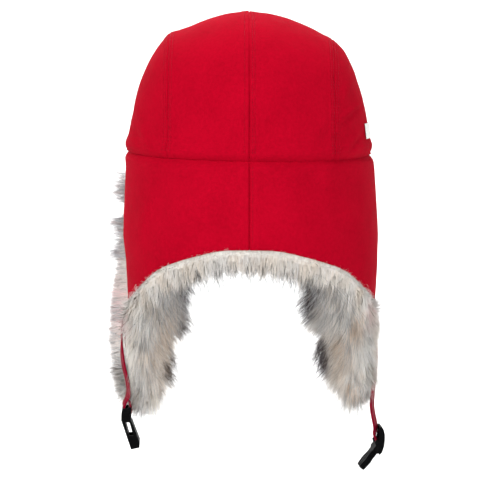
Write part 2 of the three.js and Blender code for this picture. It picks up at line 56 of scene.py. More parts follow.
# ---------------------------------------------------------------- dimensions (mm)
RIM_A, RIM_B = 99.4, 117.0      # rim seam, half width and half depth
CLOTH = 2.0
SEAM_GAP, RIM_GAP = 0.0, -0.25    # sewn edges meet, and press into each other at the rim
BACK_ROUND, FRONT_ROUND = 2.5, 2.3
PUFF, PUFF_HEIGHT = 1.5, 14.0
SEAM_TILT = 0.016
ARC = 105.0
WEBBING_WIDTH, WEBBING = 15.0, 1.5
STRAP_Y, STRAP_YAW = -10.0, 12.0
FUR_CLEAR, FUR_TOP = 0.6, 5.0

CROWN = [  # x, z, seam: outline from the front or back, left rim over the top to right rim
    (99.4, 0, "rim"), (98.9, 6, ""), (97.0, 18.5, ""), (93.8, 34.3, ""), (88.9, 54.7, ""),
    (82.4, 71, ""), (75.9, 82.6, ""), (68.5, 92.2, ""), (64.5, 96.6, "left"),
    (48.1, 102.6, ""), (31.8, 108.9, ""), (15.5, 112.9, ""), (0, 114.4, "centre"),
    (-15.5, 112.9, ""), (-31.8, 108.4, ""), (-49.8, 101.3, ""), (-67.5, 92.2, "right"),
    (-77.5, 82.6, ""), (-85.7, 66, ""), (-92.2, 44, ""), (-95.8, 25, ""), (-98.9, 6, ""),
    (-99.4, 0, "rim"),
]
GUARD = np.array([  # z, half width left, half width right, half depth at the back
    (0, 99.4, 99.4, 117), (-5, 100.8, 101.2, 118.4), (-12, 100.3, 101.9, 118.2),
    (-30, 101, 103, 118), (-50, 102, 104.4, 117.5), (-68, 102.4, 105.3, 116.5),
    (-90, 100.2, 105, 115), (-118, 98.8, 103.2, 113), (-150, 102.4, 103, 111),
    (-180, 101, 102.5, 110), (-215, 97, 102, 109)], float)
HEM = np.array([  # turn, z, top, fur, lap, roll left, roll right
    (0, -69, 0, 15, 17, 0, 0), (12, -70, 12, 15, 17, 0, 0), (24, -75, 23, 15, 16, 0, 0),
    (36, -81.5, 34, 16, 16, 0, 0), (46, -88, 43, 17, 16, 0, 0), (54, -96, 50, 19, 16, 0, 0),
    (62, -104, 56, 22, 16, 0, 0), (70, -111.5, 62, 25, 16, 0, 0), (78, -118, 67, 27, 15, 0, 0),
    (85, -127, 72, 29, 14, 0, 0), (90, -142, 76, 30, 14, 0, 0), (95, -158, 80, 31, 20, 0, 0),
    (101, -172, 84, 31, 29, 0, 0), (108, -179, 88, 31, 33, 1, 0), (115, -176, 92, 32, 29, 7, 2),
    (121, -162, 96, 33, 21, 15, 3), (125, -140, 100, 33, 16, 18, 3), (127, -112, 103, 33, 14, 18, 3),
    (128.5, -84, 106, 28, 13, 17, 3), (129.5, -56, 109, 22, 12, 16, 2), (130, -30, 112, 16, 10, 12, 1),
    (130, -9, 114, 11, 5, 0, 0)], float)
CURL = {"left": 0.35, "right": 0.78}


# ---------------------------------------------------------------- small helpers
def ease(t):
    c = np.clip(t, 0, 1)
    return c * c * (3 - 2 * c)


def along(rows, t):
    """Smooth value of a column of numbers at place t, 0 the first and 1 the last."""
    rows = np.asarray(rows, float)
    n = len(rows) - 1
    f = np.clip(t, 0, 1) * n
    i = np.minimum(np.floor(f).astype(int), n - 1)
    s = f - i
    p1, p2 = rows[i], rows[i + 1]
    p0 = np.where(i > 0, rows[np.maximum(i - 1, 0)], 2 * p1 - p2)
    p3 = np.where(i < n - 1, rows[np.minimum(i + 2, n)], 2 * p2 - p1)
    return 0.5 * (2 * p1 + (p2 - p0) * s + (2 * p0 - 5 * p1 + 4 * p2 - p3) * s * s
                  + (3 * p1 - p0 - 3 * p2 + p3) * s ** 3)


def by_height(column, z):
    zs = GUARD[:, 0]
    zc = np.clip(z, zs[-1], zs[0])
    i = np.clip(np.searchsorted(-zs, -zc, side="right") - 1, 0, len(zs) - 2)
    s = (zc - zs[i]) / (zs[i + 1] - zs[i])
    a, b = GUARD[i, column], GUARD[i + 1, column]
    return a + (b - a) * (ease(s) * 0.5 + s * 0.5)


def unit(v):
    return v / np.maximum(np.linalg.norm(v, axis=-1, keepdims=True), 1e-12)


def tilt(p, fade):
    p = p.copy()
    p[..., 2] += SEAM_TILT * p[..., 0] * np.clip(fade, 0, 1)
    return p


def waves(p, seed, scale, count=7):
    """Soft unevenness: a few crossed waves, about -1 to 1."""
    r = np.random.default_rng(seed)
    total = np.zeros(p.shape[:-1])
    for _ in range(count):
        d = unit(r.normal(size=3))
        total += np.sin(p @ d * (2 * math.pi / (scale * r.uniform(0.7, 1.6))) + r.uniform(0, 6.28))
    return total / math.sqrt(count) * 0.7


def mesh_object(name, points, faces, smooth=True, uv=None):
    me = bpy.data.meshes.new(name)
    faces = np.asarray(faces, np.int32)
    k = faces.shape[1]
    me.vertices.add(len(points))
    me.vertices.foreach_set("co", (np.asarray(points, float) * MM).astype(np.float32).ravel())
    me.loops.add(faces.size)
    me.loops.foreach_set("vertex_index", faces.ravel())
    me.polygons.add(len(faces))
    me.polygons.foreach_set("loop_start", np.arange(0, faces.size, k, dtype=np.int32))
    me.update(calc_edges=True)
    me.validate()
    if smooth:
        me.polygons.foreach_set("use_smooth", np.ones(len(me.polygons), bool))
    if uv is not None:
        layer = me.uv_layers.new(name="UVMap")
        index = np.zeros(len(me.loops), np.int32)
        me.loops.foreach_get("vertex_index", index)
        layer.data.foreach_set("uv", np.asarray(uv, np.float32)[index].ravel())
    ob = bpy.data.objects.new(name, me)
    bpy.context.scene.collection.objects.link(ob)
    return ob


def wall_object(name, outer, inner, uv_outer):
    """A closed wall between two grids of points, with rounded joining rows already in them."""
    n, m = outer.shape[:2]
    pts = np.concatenate([outer.reshape(-1, 3), inner.reshape(-1, 3)])
    uv = np.concatenate([uv_outer.reshape(-1, 2), uv_outer.reshape(-1, 2)])
    o = np.arange(n * m).reshape(n, m)
    k = o + n * m

    def quads(a, b, c, d):
        return np.stack([a.ravel(), b.ravel(), c.ravel(), d.ravel()], 1)

    f = [quads(o[:-1, :-1], o[1:, :-1], o[1:, 1:], o[:-1, 1:]),
         quads(k[:-1, :-1], k[:-1, 1:], k[1:, 1:], k[1:, :-1]),
         quads(o[:-1, 0], k[:-1, 0], k[1:, 0], o[1:, 0]),
         quads(o[:-1, -1], o[1:, -1], k[1:, -1], k[:-1, -1]),
         quads(o[0, :-1], o[0, 1:], k[0, 1:], k[0, :-1]),
         quads(o[-1, :-1], k[-1, :-1], k[-1, 1:], o[-1, 1:])]
    f = np.concatenate(f)
    v = pts[f]
    a, b, c, d = v[:, 0], v[:, 1], v[:, 2], v[:, 3]
    vol = np.einsum("ij,ij->i", a, np.cross(b, c)).sum() + np.einsum("ij,ij->i", a, np.cross(c, d)).sum()
    if vol < 0:
        f = f[:, ::-1]
    ob = mesh_object(name, pts, f, uv=uv)
    import bmesh
    bm = bmesh.new()
    bm.from_mesh(ob.data)
    bmesh.ops.remove_doubles(bm, verts=bm.verts, dist=2e-6)
    bmesh.ops.dissolve_degenerate(bm, edges=bm.edges, dist=1e-7)
    bm.to_mesh(ob.data)
    bm.free()
    for p in ob.data.polygons:
        p.use_smooth = True
    return ob


def normals_of(grid, sign_from):
    """Unit normals of a grid of points, facing away from sign_from."""
    du = np.gradient(grid, axis=0)
    dv = np.gradient(grid, axis=1)
    n = unit(np.cross(du, dv))
    out = grid - sign_from
    flip = np.einsum("...i,...i->...", n, out) < 0
    if np.mean(flip) > 0.5:
        n = -n
    return n


# ---------------------------------------------------------------- materials
def new_material(name):
    m = bpy.data.materials.new(name)
    m.use_nodes = True
    nt = m.node_tree
    bsdf = nt.nodes["Principled BSDF"]
    return m, nt, bsdf


def node(nt, kind, **settings):
    n = nt.nodes.new(kind)
    for k, v in settings.items():
        setattr(n, k, v)
    return n


def link(nt, a, b):
    nt.links.new(a, b)


def math_node(nt, op, a, b=None, c=None):
    n = node(nt, "ShaderNodeMath", operation=op)
    for i, v in enumerate((a, b, c)):
        if v is None:
            continue
        if isinstance(v, (int, float)):
            n.inputs[i].default_value = v
        else:
            link(nt, v, n.inputs[i])
    return n.outputs[0]


def ramp(nt, fac, stops):
    n = node(nt, "ShaderNodeValToRGB")
    el = n.color_ramp.elements
    while len(el) < len(stops):
        el.new(0.5)
    for e, (pos, col) in zip(el, stops):
        e.position = pos
        e.color = (*col, 1)
    link(nt, fac, n.inputs[0])
    return n.outputs[0]


def noise(nt, vector, scale, detail=3.0, rough=0.5):
    n = node(nt, "ShaderNodeTexNoise")
    n.inputs["Scale"].default_value = scale
    n.inputs["Detail"].default_value = detail
    n.inputs["Roughness"].default_value = rough
    link(nt, vector, n.inputs["Vector"])
    return n.outputs["Fac"]


def srgb(r, g, b):
    out = []
    for c in (r, g, b):
        c /= 255.0
        out.append(c / 12.92 if c <= 0.04045 else ((c + 0.055) / 1.055) ** 2.4)
    return tuple(out)


def twill(name, dark, mid, light, thread_mm, rough, sheen):
    """Cotton twill: fine diagonal ribs and threads from the piece's own UV in millimetres."""
    m, nt, bsdf = new_material(name)
    uv = node(nt, "ShaderNodeUVMap", uv_map="UVMap")
    co = node(nt, "ShaderNodeTexCoord")
    sep = node(nt, "ShaderNodeSeparateXYZ")
    link(nt, uv.outputs[0], sep.inputs[0])
    u, v = sep.outputs[0], sep.outputs[1]
    k = 2 * math.pi / thread_mm
    diag = math_node(nt, "SINE", math_node(nt, "MULTIPLY", math_node(nt, "ADD", u, v), k * 0.55))
    cross = math_node(nt, "SINE", math_node(nt, "MULTIPLY", u, k))
    cross2 = math_node(nt, "SINE", math_node(nt, "MULTIPLY", v, k))
    weave = math_node(nt, "ADD", math_node(nt, "MULTIPLY", diag, 0.6),
                      math_node(nt, "MULTIPLY", math_node(nt, "MULTIPLY", cross, cross2), 0.5))
    broad = noise(nt, co.outputs["Object"], 28.0, 4.0, 0.55)
    slub = noise(nt, co.outputs["Object"], 420.0, 3.0, 0.6)
    tone = math_node(nt, "ADD", math_node(nt, "MULTIPLY", broad, 0.40),
                     math_node(nt, "MULTIPLY", slub, 0.55))
    tone = math_node(nt, "ADD", tone, math_node(nt, "MULTIPLY", weave, 0.045))
    link(nt, ramp(nt, tone, [(0.24, dark), (0.47, mid), (0.70, light)]), bsdf.inputs["Base Color"])
    r = math_node(nt, "ADD", rough - 0.06, math_node(nt, "MULTIPLY", slub, 0.12))
    link(nt, r, bsdf.inputs["Roughness"])
    bsdf.inputs["Specular IOR Level"].default_value = 0.02
    bsdf.inputs["Sheen Weight"].default_value = sheen
    bsdf.inputs["Sheen Roughness"].default_value = 0.45
    bsdf.inputs["Sheen Tint"].default_value = (1.0, 0.1, 0.16, 1)
    height = math_node(nt, "ADD", math_node(nt, "MULTIPLY", weave, 0.5),
                       math_node(nt, "MULTIPLY", slub, 1.1))
    bump = node(nt, "ShaderNodeBump")
    bump.inputs["Strength"].default_value = 0.22
    bump.inputs["Distance"].default_value = 0.00022
    link(nt, height, bump.inputs["Height"])
    link(nt, bump.outputs[0], bsdf.inputs["Normal"])
    return m


RED_DARK, RED_MID, RED_LIGHT = srgb(141, 1, 22), srgb(157, 2, 27), srgb(169, 3, 31)
mat_red = twill("red_cotton", RED_DARK, RED_MID, RED_LIGHT, 0.62, 0.92, 0.0)


def thread_material():
    m, nt, bsdf = new_material("red_thread")
    co = node(nt, "ShaderNodeTexCoord")
    n = noise(nt, co.outputs["Object"], 1500.0, 2.0)
    link(nt, ramp(nt, n, [(0.3, srgb(134, 2, 25)), (0.7, srgb(156, 3, 30))]), bsdf.inputs["Base Color"])
    bsdf.inputs["Roughness"].default_value = 0.6
    bsdf.inputs["Specular IOR Level"].default_value = 0.1
    return m


mat_thread = thread_material()


def webbing_material():
    m, nt, bsdf = new_material("red_webbing")
    uv = node(nt, "ShaderNodeUVMap", uv_map="UVMap")
    co = node(nt, "ShaderNodeTexCoord")
    sep = node(nt, "ShaderNodeSeparateXYZ")
    link(nt, uv.outputs[0], sep.inputs[0])
    u, v = sep.outputs[0], sep.outputs[1]
    rib = math_node(nt, "SINE", math_node(nt, "MULTIPLY", v, 2 * math.pi / 1.15))
    warp = math_node(nt, "SINE", math_node(nt, "MULTIPLY", u, 2 * math.pi / 0.8))
    weave = math_node(nt, "MULTIPLY", math_node(nt, "ADD", rib, math_node(nt, "MULTIPLY", warp, 0.7)), 0.5)
    n = noise(nt, co.outputs["Object"], 700.0, 3.0)
    tone = math_node(nt, "ADD", math_node(nt, "MULTIPLY", n, 0.8), math_node(nt, "MULTIPLY", weave, 0.16))
    link(nt, ramp(nt, tone, [(0.2, srgb(80, 0, 18)), (0.45, srgb(132, 1, 33)), (0.75, srgb(160, 5, 48))]),
         bsdf.inputs["Base Color"])
    link(nt, math_node(nt, "ADD", 0.52, math_node(nt, "MULTIPLY", n, 0.18)), bsdf.inputs["Roughness"])
    bsdf.inputs["Specular IOR Level"].default_value = 0.03
    bump = node(nt, "ShaderNodeBump")
    bump.inputs["Strength"].default_value = 0.7
    bump.inputs["Distance"].default_value = 0.00025
    link(nt, math_node(nt, "ADD", weave, math_node(nt, "MULTIPLY", n, 0.4)), bump.inputs["Height"])
    link(nt, bump.outputs[0], bsdf.inputs["Normal"])
    return m


mat_web = webbing_material()


def plastic_material():
    m, nt, bsdf = new_material("black_plastic")
    co = node(nt, "ShaderNodeTexCoord")
    grain = noise(nt, co.outputs["Object"], 2600.0, 2.0)
    broad = noise(nt, co.outputs["Object"], 90.0, 3.0)
    link(nt, ramp(nt, broad, [(0.3, srgb(7, 7, 8)), (0.7, srgb(13, 13, 14))]), bsdf.inputs["Base Color"])
    link(nt, math_node(nt, "ADD", 0.40, math_node(nt, "MULTIPLY", broad, 0.22)), bsdf.inputs["Roughness"])
    bsdf.inputs["Specular IOR Level"].default_value = 0.02
    bump = node(nt, "ShaderNodeBump")
    bump.inputs["Strength"].default_value = 0.25
    bump.inputs["Distance"].default_value = 0.00006
    link(nt, grain, bump.inputs["Height"])
    link(nt, bump.outputs[0], bsdf.inputs["Normal"])
    return m


mat_plastic = plastic_material()


def tag_material():
    m, nt, bsdf = new_material("white_tape")
    uv = node(nt, "ShaderNodeUVMap", uv_map="UVMap")
    co = node(nt, "ShaderNodeTexCoord")
    sep = node(nt, "ShaderNodeSeparateXYZ")
    link(nt, uv.outputs[0], sep.inputs[0])
    a = math_node(nt, "SINE", math_node(nt, "MULTIPLY", sep.outputs[0], 2 * math.pi / 0.5))
    b = math_node(nt, "SINE", math_node(nt, "MULTIPLY", sep.outputs[1], 2 * math.pi / 0.35))
    n = noise(nt, co.outputs["Object"], 900.0, 2.0)
    link(nt, ramp(nt, n, [(0.3, srgb(212, 211, 209)), (0.7, srgb(234, 233, 231))]), bsdf.inputs["Base Color"])
    bsdf.inputs["Roughness"].default_value = 0.6
    bump = node(nt, "ShaderNodeBump")
    bump.inputs["Strength"].default_value = 0.35
    bump.inputs["Distance"].default_value = 0.0001
    link(nt, math_node(nt, "MULTIPLY", a, b), bump.inputs["Height"])
    link(nt, bump.outputs[0], bsdf.inputs["Normal"])
    return m


mat_tag = tag_material()


def fur_material(name, sheen):
    """Hair: the colour of each hair comes with the mesh, with a finer streak over it."""
    m, nt, bsdf = new_material(name)
    at = node(nt, "ShaderNodeAttribute", attribute_name="hair")
    co = node(nt, "ShaderNodeTexCoord")
    n = noise(nt, co.outputs["Object"], 260.0, 2.0)
    mul = node(nt, "ShaderNodeMix", data_type="RGBA", blend_type="MULTIPLY")
    mul.inputs[0].default_value = 0.5
    link(nt, at.outputs["Color"], mul.inputs[6])
    link(nt, ramp(nt, n, [(0.3, (0.90, 0.88, 0.86)), (0.65, (1, 1, 1))]), mul.inputs[7])
    link(nt, mul.outputs[2], bsdf.inputs["Base Color"])
    bsdf.inputs["Roughness"].default_value = 0.7
    bsdf.inputs["Specular IOR Level"].default_value = 0.08
    bsdf.inputs["Sheen Weight"].default_value = sheen
    return m


mat_fur = fur_material("fur_hair", 0.0)


def skin_material():
    m, nt, bsdf = new_material("fur_base")
    at = node(nt, "ShaderNodeAttribute", attribute_name="hair")
    co = node(nt, "ShaderNodeTexCoord")
    mp = node(nt, "ShaderNodeMapping")
    mp.inputs["Scale"].default_value = (900, 900, 120)
    link(nt, co.outputs["Object"], mp.inputs["Vector"])
    n = noise(nt, mp.outputs[0], 1.0, 3.0, 0.6)
    mul = node(nt, "ShaderNodeMix", data_type="RGBA", blend_type="MULTIPLY")
    mul.inputs[0].default_value = 1.0
    link(nt, at.outputs["Color"], mul.inputs[6])
    link(nt, ramp(nt, n, [(0.32, (0.78, 0.76, 0.74)), (0.62, (1, 1, 1))]), mul.inputs[7])
    link(nt, mul.outputs[2], bsdf.inputs["Base Color"])
    bsdf.inputs["Roughness"].default_value = 0.9
    bsdf.inputs["Specular IOR Level"].default_value = 0.1
    bump = node(nt, "ShaderNodeBump")
    bump.inputs["Strength"].default_value = 0.9
    bump.inputs["Distance"].default_value = 0.0015
    link(nt, n, bump.inputs["Height"])
    link(nt, bump.outputs[0], bsdf.inputs["Normal"])
    return m


mat_skin = skin_material()


# ---------------------------------------------------------------- crown
CUTS = [i for i, r in enumerate(CROWN) if r[2]]
PANELS = ["crown_side_left", "crown_top_left", "crown_top_right", "crown_side_right"]


def outline(k):
    """Fine outline of panel k: distance along it, x and z."""
    rows = CROWN[CUTS[k]:CUTS[k + 1] + 1]
    t = np.linspace(0, 1, 600)
    x, z = along([r[0] for r in rows], t), along([r[1] for r in rows], t)
    s = np.concatenate([[0], np.cumsum(np.hypot(np.diff(x), np.diff(z)))])
    return s, x, z


OUTLINES = [outline(k) for k in range(4)]


def crown_at(k, s, theta):
    """Point on the crown: s millimetres across panel k, theta from the back rim over the top."""
    S, X, Z = OUTLINES[k]
    x = np.interp(s, S, X)
    height = np.maximum(np.interp(s, S, Z), 0)
    depth = RIM_B * np.sqrt(np.maximum(0, 1 - (x / RIM_A) ** 2))
    c, sn = np.cos(theta), np.abs(np.sin(theta))
    e = np.where(c > 0, 2 / BACK_ROUND, 2 / FRONT_ROUND)
    y = depth * np.sign(c) * np.abs(c) ** e
    z = height * sn ** e
    push = np.where(z < PUFF_HEIGHT, PUFF * np.sin(math.pi * np.clip(z, 0, PUFF_HEIGHT) / PUFF_HEIGHT), 0)
    away = unit(np.stack([x / RIM_A ** 2, y / RIM_B ** 2, 0 * x], -1) + 1e-9)
    p = np.stack([x + 0 * theta, y, z], -1) + away * push[..., None]
    p[..., 2] += RIM_GAP
    return tilt(p, 1 - z / 115)


def crown_normal(k, s, theta):
    S = OUTLINES[k][0]
    a = crown_at(k, np.clip(s + 0.4, 0, S[-1]), theta) - crown_at(k, np.clip(s - 0.4, 0, S[-1]), theta)
    b = crown_at(k, s, np.clip(theta + 0.004, 0, math.pi)) - crown_at(k, s, np.clip(theta - 0.004, 0, math.pi))
    n = unit(np.cross(a, b))
    p = crown_at(k, s, theta)
    flip = np.einsum("...i,...i->...", n, p - np.array([0, 0, 20.0])) < 0
    n = np.where(flip[..., None], -n, n)
    n[..., 2] *= ease((p[..., 2] - SEAM_TILT * p[..., 0]) / 5.0)
    return unit(n)


def seam_stretch(k, at_end, theta):
    """Real millimetres for each millimetre of s next to a seam, at each theta."""
    S = OUTLINES[k][0]
    s0 = S[-1] if at_end else 0.0
    s1 = s0 - 3 if at_end else 3.0
    p0, p1 = crown_at(k, s0 + 0 * theta, theta), crown_at(k, s1 + 0 * theta, theta)
    run = unit(np.gradient(p0, axis=0))
    d = p1 - p0
    d = d - np.einsum("ij,ij->i", d, run)[:, None] * run
    return np.maximum(np.linalg.norm(d, axis=1) / 3, 0.5)


CREASES = [  # panel, ends in x and z as seen from behind, width, height: soft folds
    dict(panel=3, x0=-91, z0=42.2, x1=-70, z1=27, width=2.2, high=1.50),
    dict(panel=3, x0=-90, z0=19.7, x1=-76, z1=4, width=2.2, high=1.30),
    dict(panel=3, x0=-88, z0=66, x1=-74, z1=42, width=4.0, high=0.80),
    dict(panel=2, x0=-64, z0=34, x1=-50, z1=8, width=4.0, high=0.55),
    dict(panel=0, x0=92, z0=40, x1=82, z1=6, width=3.5, high=0.60),
    dict(panel=0, x0=95, z0=26, x1=84, z1=14, width=2.6, high=0.50),
    dict(panel=1, x0=30, z0=22, x1=46, z1=3, width=4.0, high=0.48),
    dict(panel=1, x0=12, z0=60, x1=40, z1=44, width=6.0, high=0.38),
    dict(panel=2, x0=-12, z0=16, x1=-28, z1=4, width=3.5, high=0.48),
    dict(panel=2, x0=-18, z0=74, x1=-48, z1=52, width=6.0, high=0.38),
]


def fold_height(p, folds):
    """Soft folds drawn as seen from behind: raised above the line, hollow below it."""
    h = np.zeros(p.shape[:-1])
    q = p[..., [0, 2]]
    for c in folds:
        a, b = np.array([c["x0"], c["z0"]], float), np.array([c["x1"], c["z1"]], float)
        ab = b - a
        up = np.array([-ab[1], ab[0]]) / np.linalg.norm(ab)
        up = up if up[1] > 0 else -up
        t = ((q - a) @ ab) / (ab @ ab)
        past = np.abs(t - np.clip(t, 0, 1)) * np.linalg.norm(ab)
        s = (q - a) @ up
        w = c["width"]
        shape = np.exp(-((s - 0.7 * w) / w) ** 2) - 0.8 * np.exp(-((s + 0.7 * w) / w) ** 2)
        h += c["high"] * shape * np.sin(math.pi * np.clip(t, 0.02, 0.98)) ** 0.6 * np.exp(-(past / w) ** 2)
    return h


def crease_height(p, k):
    """The crown's folds, on its back half only."""
    return fold_height(p, [c for c in CREASES if c["panel"] == k]) * ease((p[..., 1] + 5) / 20)


def seam_profile(d, rows, ripple, deep=1.0):
    """Height next to a sewn seam: the valley, the thickness of the turned edges, the stitch rows."""
    h = -deep * np.exp(-(d / 0.62) ** 1.5)
    h += 0.30 * ease((d - 0.3) / 1.0) * (1 - ease((d - 5.2) / 2.2))
    for r in rows:
        h -= 0.20 * np.exp(-((d - r) / 0.55) ** 2)
    h += ripple * np.exp(-(d / 6.0) ** 2) * ease(d / 1.2)
    return h


# Stitch rows beside each seam: (panel, at its end or its start, distances in mm)
ROWS = {
    (0, True): [1.6, 4.2], (1, False): [1.6, 4.2],
    (1, True): [3.6], (2, False): [2.4, 4.4],
    (2, True): [1.6, 4.2], (3, False): [1.6, 4.2],
}
DEPTHS = {q: 0.8 if q in ((1, True), (2, False)) else 0.55 for q in ROWS}     # seam valleys, mm
NEAR = [0.0, 0.18, 0.4, 0.75, 1.15, 1.6, 2.1, 2.6, 3.2, 3.8, 4.3, 4.8, 5.6, 6.8, 8.5]


def spaced(length, step, start, end):
    """Stops along a length, close together next to the seams at its two ends."""
    left = [d for d in NEAR if d < length / 2] if start else [0.0]
    right = [length - d for d in reversed(NEAR) if d < length / 2] if end else [length]
    a, b = left[-1], right[0]
    n = max(2, int(round((b - a) / step)))
    mid = list(np.linspace(a, b, n + 1)[1:-1])
    return np.array(left + mid + right)


def broad_waves(P, k, rim):
    return 0.42 * waves(P, 11 + k, 62) * ease(rim / 14) + 0.16 * waves(P, 31 + k, 19) * ease(rim / 6)


def rim_roll(rim):
    """How far the crown's cloth turns in towards the rim seam."""
    return 0.6 * np.exp(-(rim / 1.2) ** 1.4) + 1.25 * np.exp(-(rim / 4.4) ** 2)


def seam_depth(q, z):
    """Valley of a seam: shallower near the top, where it crosses the outline."""
    return DEPTHS[q] * (1 - 0.65 * ease((z - 78) / 18))


def crown_height(k, S, TH, P, th):
    length = OUTLINES[k][0][-1]
    h = np.zeros(S.shape)
    arc = np.concatenate([[0], np.cumsum(np.linalg.norm(np.diff(P[S.shape[0] // 2], axis=0), axis=1))])
    for at_end in (False, True):
        if (k, at_end) not in ROWS:
            continue
        m = seam_stretch(k, at_end, th)[None, :]
        d = (length - S if at_end else S) * m
        phase = 1.7 * k + (2.1 if at_end else 0)
        ripple = 0.17 * np.sin(arc[None, :] * 2 * math.pi / 8.6 + phase + np.sin(arc[None, :] * 0.071) * 2)
        h += seam_profile(d, ROWS[(k, at_end)], ripple, seam_depth((k, at_end), P[..., 2]))
    z = P[..., 2]
    rim = np.maximum(z, 0)
    h -= rim_roll(rim)
    h += 0.14 * np.exp(-(rim / 9.0) ** 2) * np.sin(P[..., 0] * 0.55 + P[..., 1] * 0.31 + 1.3 * k)
    h += broad_waves(P, k, rim)
    h += crease_height(P, k)
    return h


made = []
for k, name in enumerate(PANELS):
    length = OUTLINES[k][0][-1]
    start, end = (k, False) in ROWS, (k, True) in ROWS
    s = spaced(length, 3.0, start, end)
    s[0] += SEAM_GAP * (0.5 if start else 0)
    s[-1] -= SEAM_GAP * (0.5 if end else 0)
    t = np.linspace(0, 1, 149)
    th = math.pi * (t + 0.0 * t)
    # closer rows next to the rim, front and back
    th = np.concatenate([[0, 0.003, 0.007, 0.012, 0.019, 0.028], th[2:-2],
                         [math.pi - q for q in (0.028, 0.019, 0.012, 0.007, 0.003, 0)]])
    S, TH = np.meshgrid(s, th, indexing="ij")
    P = crown_at(k, S, TH)
    N = crown_normal(k, S, TH)
    H = crown_height(k, S, TH, P, th)
    outer = P + N * H[..., None]
    inner = P + N * (np.minimum(H, 0.3) * 0.3 - CLOTH * np.clip(0.55 + np.minimum(S, length - S) / 4
                                                                if start and end else 1, 0.55, 1))[..., None]
    inner[..., 2] = np.where((TH < 1e-6) | (TH > math.pi - 1e-6), outer[..., 2], inner[..., 2])
    across = S
    down = np.concatenate([np.zeros((S.shape[0], 1)),
                           np.cumsum(np.linalg.norm(np.diff(P, axis=1), axis=2), axis=1)], 1)
    ob = wall_object("crown_cloth_" + name[6:], outer, inner, np.stack([across, down], -1))
    ob.data.materials.append(mat_red)
    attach(ob, "root")
    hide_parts(name)
    made.append(ob)


# ---------------------------------------------------------------- stitches
def stitch_mesh(name, runs, pitch=2.6, length=1.95, radius=0.17):
    """Runs of sewn stitches: each run is points on the cloth and their normals, in mm."""
    ring = np.array([(math.cos(a), math.sin(a)) for a in np.linspace(0, 2 * math.pi, 6)[:-1]])
    stations = [(-0.5, 0.0, -0.30), (-0.36, 0.85, 0.0), (0.0, 1.0, 0.12), (0.36, 0.85, 0.0), (0.5, 0.0, -0.30)]
    verts, faces = [], []
    base = 0
    for pts, nrm in runs:
        seg = np.linalg.norm(np.diff(pts, axis=0), axis=1)
        dist = np.concatenate([[0], np.cumsum(seg)])
        centres = np.arange(pitch, dist[-1] - pitch, pitch)
        if len(centres) == 0:
            continue

        def at(d, col):
            return np.stack([np.interp(d, dist, col[:, i]) for i in range(3)], -1)

        c = at(centres, pts)
        n = unit(at(centres, nrm))
        run = unit(at(centres + 0.5, pts) - at(centres - 0.5, pts))
        side = unit(np.cross(n, run))
        for i in range(len(c)):
            ids = []
            for (a, r, up) in stations:
                o = c[i] + run[i] * a * length + n[i] * (up + 0.02)
                if r == 0:
                    verts.append(o)
                    ids.append([base])
                    base += 1
                else:
                    for (ca, sa) in ring:
                        verts.append(o + side[i] * ca * r * radius * 1.15 + n[i] * sa * r * radius)
                    ids.append(list(range(base, base + 5)))
                    base += 5
            for q in range(5):
                w = (q + 1) % 5
                faces.append((ids[0][0], ids[1][w], ids[1][q]))
                for lo, hi in ((1, 2), (2, 3)):
                    faces.append((ids[lo][q], ids[lo][w], ids[hi][w]))
                    faces.append((ids[lo][q], ids[hi][w], ids[hi][q]))
                faces.append((ids[3][q], ids[3][w], ids[4][0]))
    ob = mesh_object(name, np.array(verts), np.array(faces))
    ob.data.materials.append(mat_thread)
    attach(ob, "root")
    return ob


def surface_height(k, s, th):
    """The crown's relief along one row of stitches."""
    P = crown_at(k, s, th)
    h = np.zeros(len(s))
    length = OUTLINES[k][0][-1]
    arc = np.concatenate([[0], np.cumsum(np.linalg.norm(np.diff(crown_at(
        k, np.full(len(th), length / 2), th), axis=0), axis=1))])
    for at_end in (False, True):
        if (k, at_end) not in ROWS:
            continue
        m = seam_stretch(k, at_end, th)
        d = (length - s if at_end else s) * m
        h += seam_profile(d, ROWS[(k, at_end)], 0, seam_depth((k, at_end), P[..., 2]))
    rim = np.maximum(P[:, 2], 0)
    h -= rim_roll(rim)
    h += broad_waves(P, k, rim)
    h += crease_height(P, k)
    return P, h


runs = []
for (k, at_end), rows in ROWS.items():
    th = np.linspace(0.02, math.pi - 0.02, 420)
    length = OUTLINES[k][0][-1]
    m = seam_stretch(k, at_end, th)
    for r in rows:
        s = length - r / m if at_end else r / m
        P, h = surface_height(k, s, th)
        N = crown_normal(k, s, th)
        runs.append((P + N * (h + 0.10)[:, None], N))
crown_stitches = stitch_mesh("crown_stitching", runs)


# ---------------------------------------------------------------- guard
def guard_at(side, turn, z, inset):
    half = by_height(1 if side == "left" else 2, z)
    back = by_height(3, z)
    curl = 1 + (CURL[side] - 1) * ease(-z / 70)
    sign = 1 if side == "left" else -1

    def place(deg):
        s, c = np.sin(np.radians(deg)), np.cos(np.radians(deg))
        x = np.where(deg > 90, half * (1 - (1 - s) * curl), half * s)
        return np.stack([x, back * c, z + 0 * x], -1)

    p = place(turn)
    run = place(turn + 0.5) - place(turn - 0.5)
    inward = unit(np.stack([run[..., 1], -run[..., 0], 0 * run[..., 0]], -1))
    p = p + inward * np.asarray(inset)[..., None]
    p[..., 0] *= sign
    return tilt(p, 1 + z / 120)


def hem_at(u):
    return [along(HEM[:, c], u) for c in range(7)]


def on_guard(side, u, v, past, inset, top_z=-RIM_GAP):
    turn_h, z_h, top = hem_at(u)[:3]
    turn = top + (turn_h - top) * v
    z = top_z + (z_h - top_z) * v
    a, b = hem_at(np.clip(u - 0.004, 0, 1)), hem_at(np.clip(u + 0.004, 0, 1))
    run = unit(np.stack([np.radians(b[0] - a[0]) * ARC, b[1] - a[1]], -1))
    turn = turn + np.degrees(run[..., 1] * past / ARC)
    z = z - run[..., 0] * past
    start = math.degrees(SEAM_GAP / RIM_A)
    return guard_at(side, np.maximum(turn, start * 0.5), z, inset)


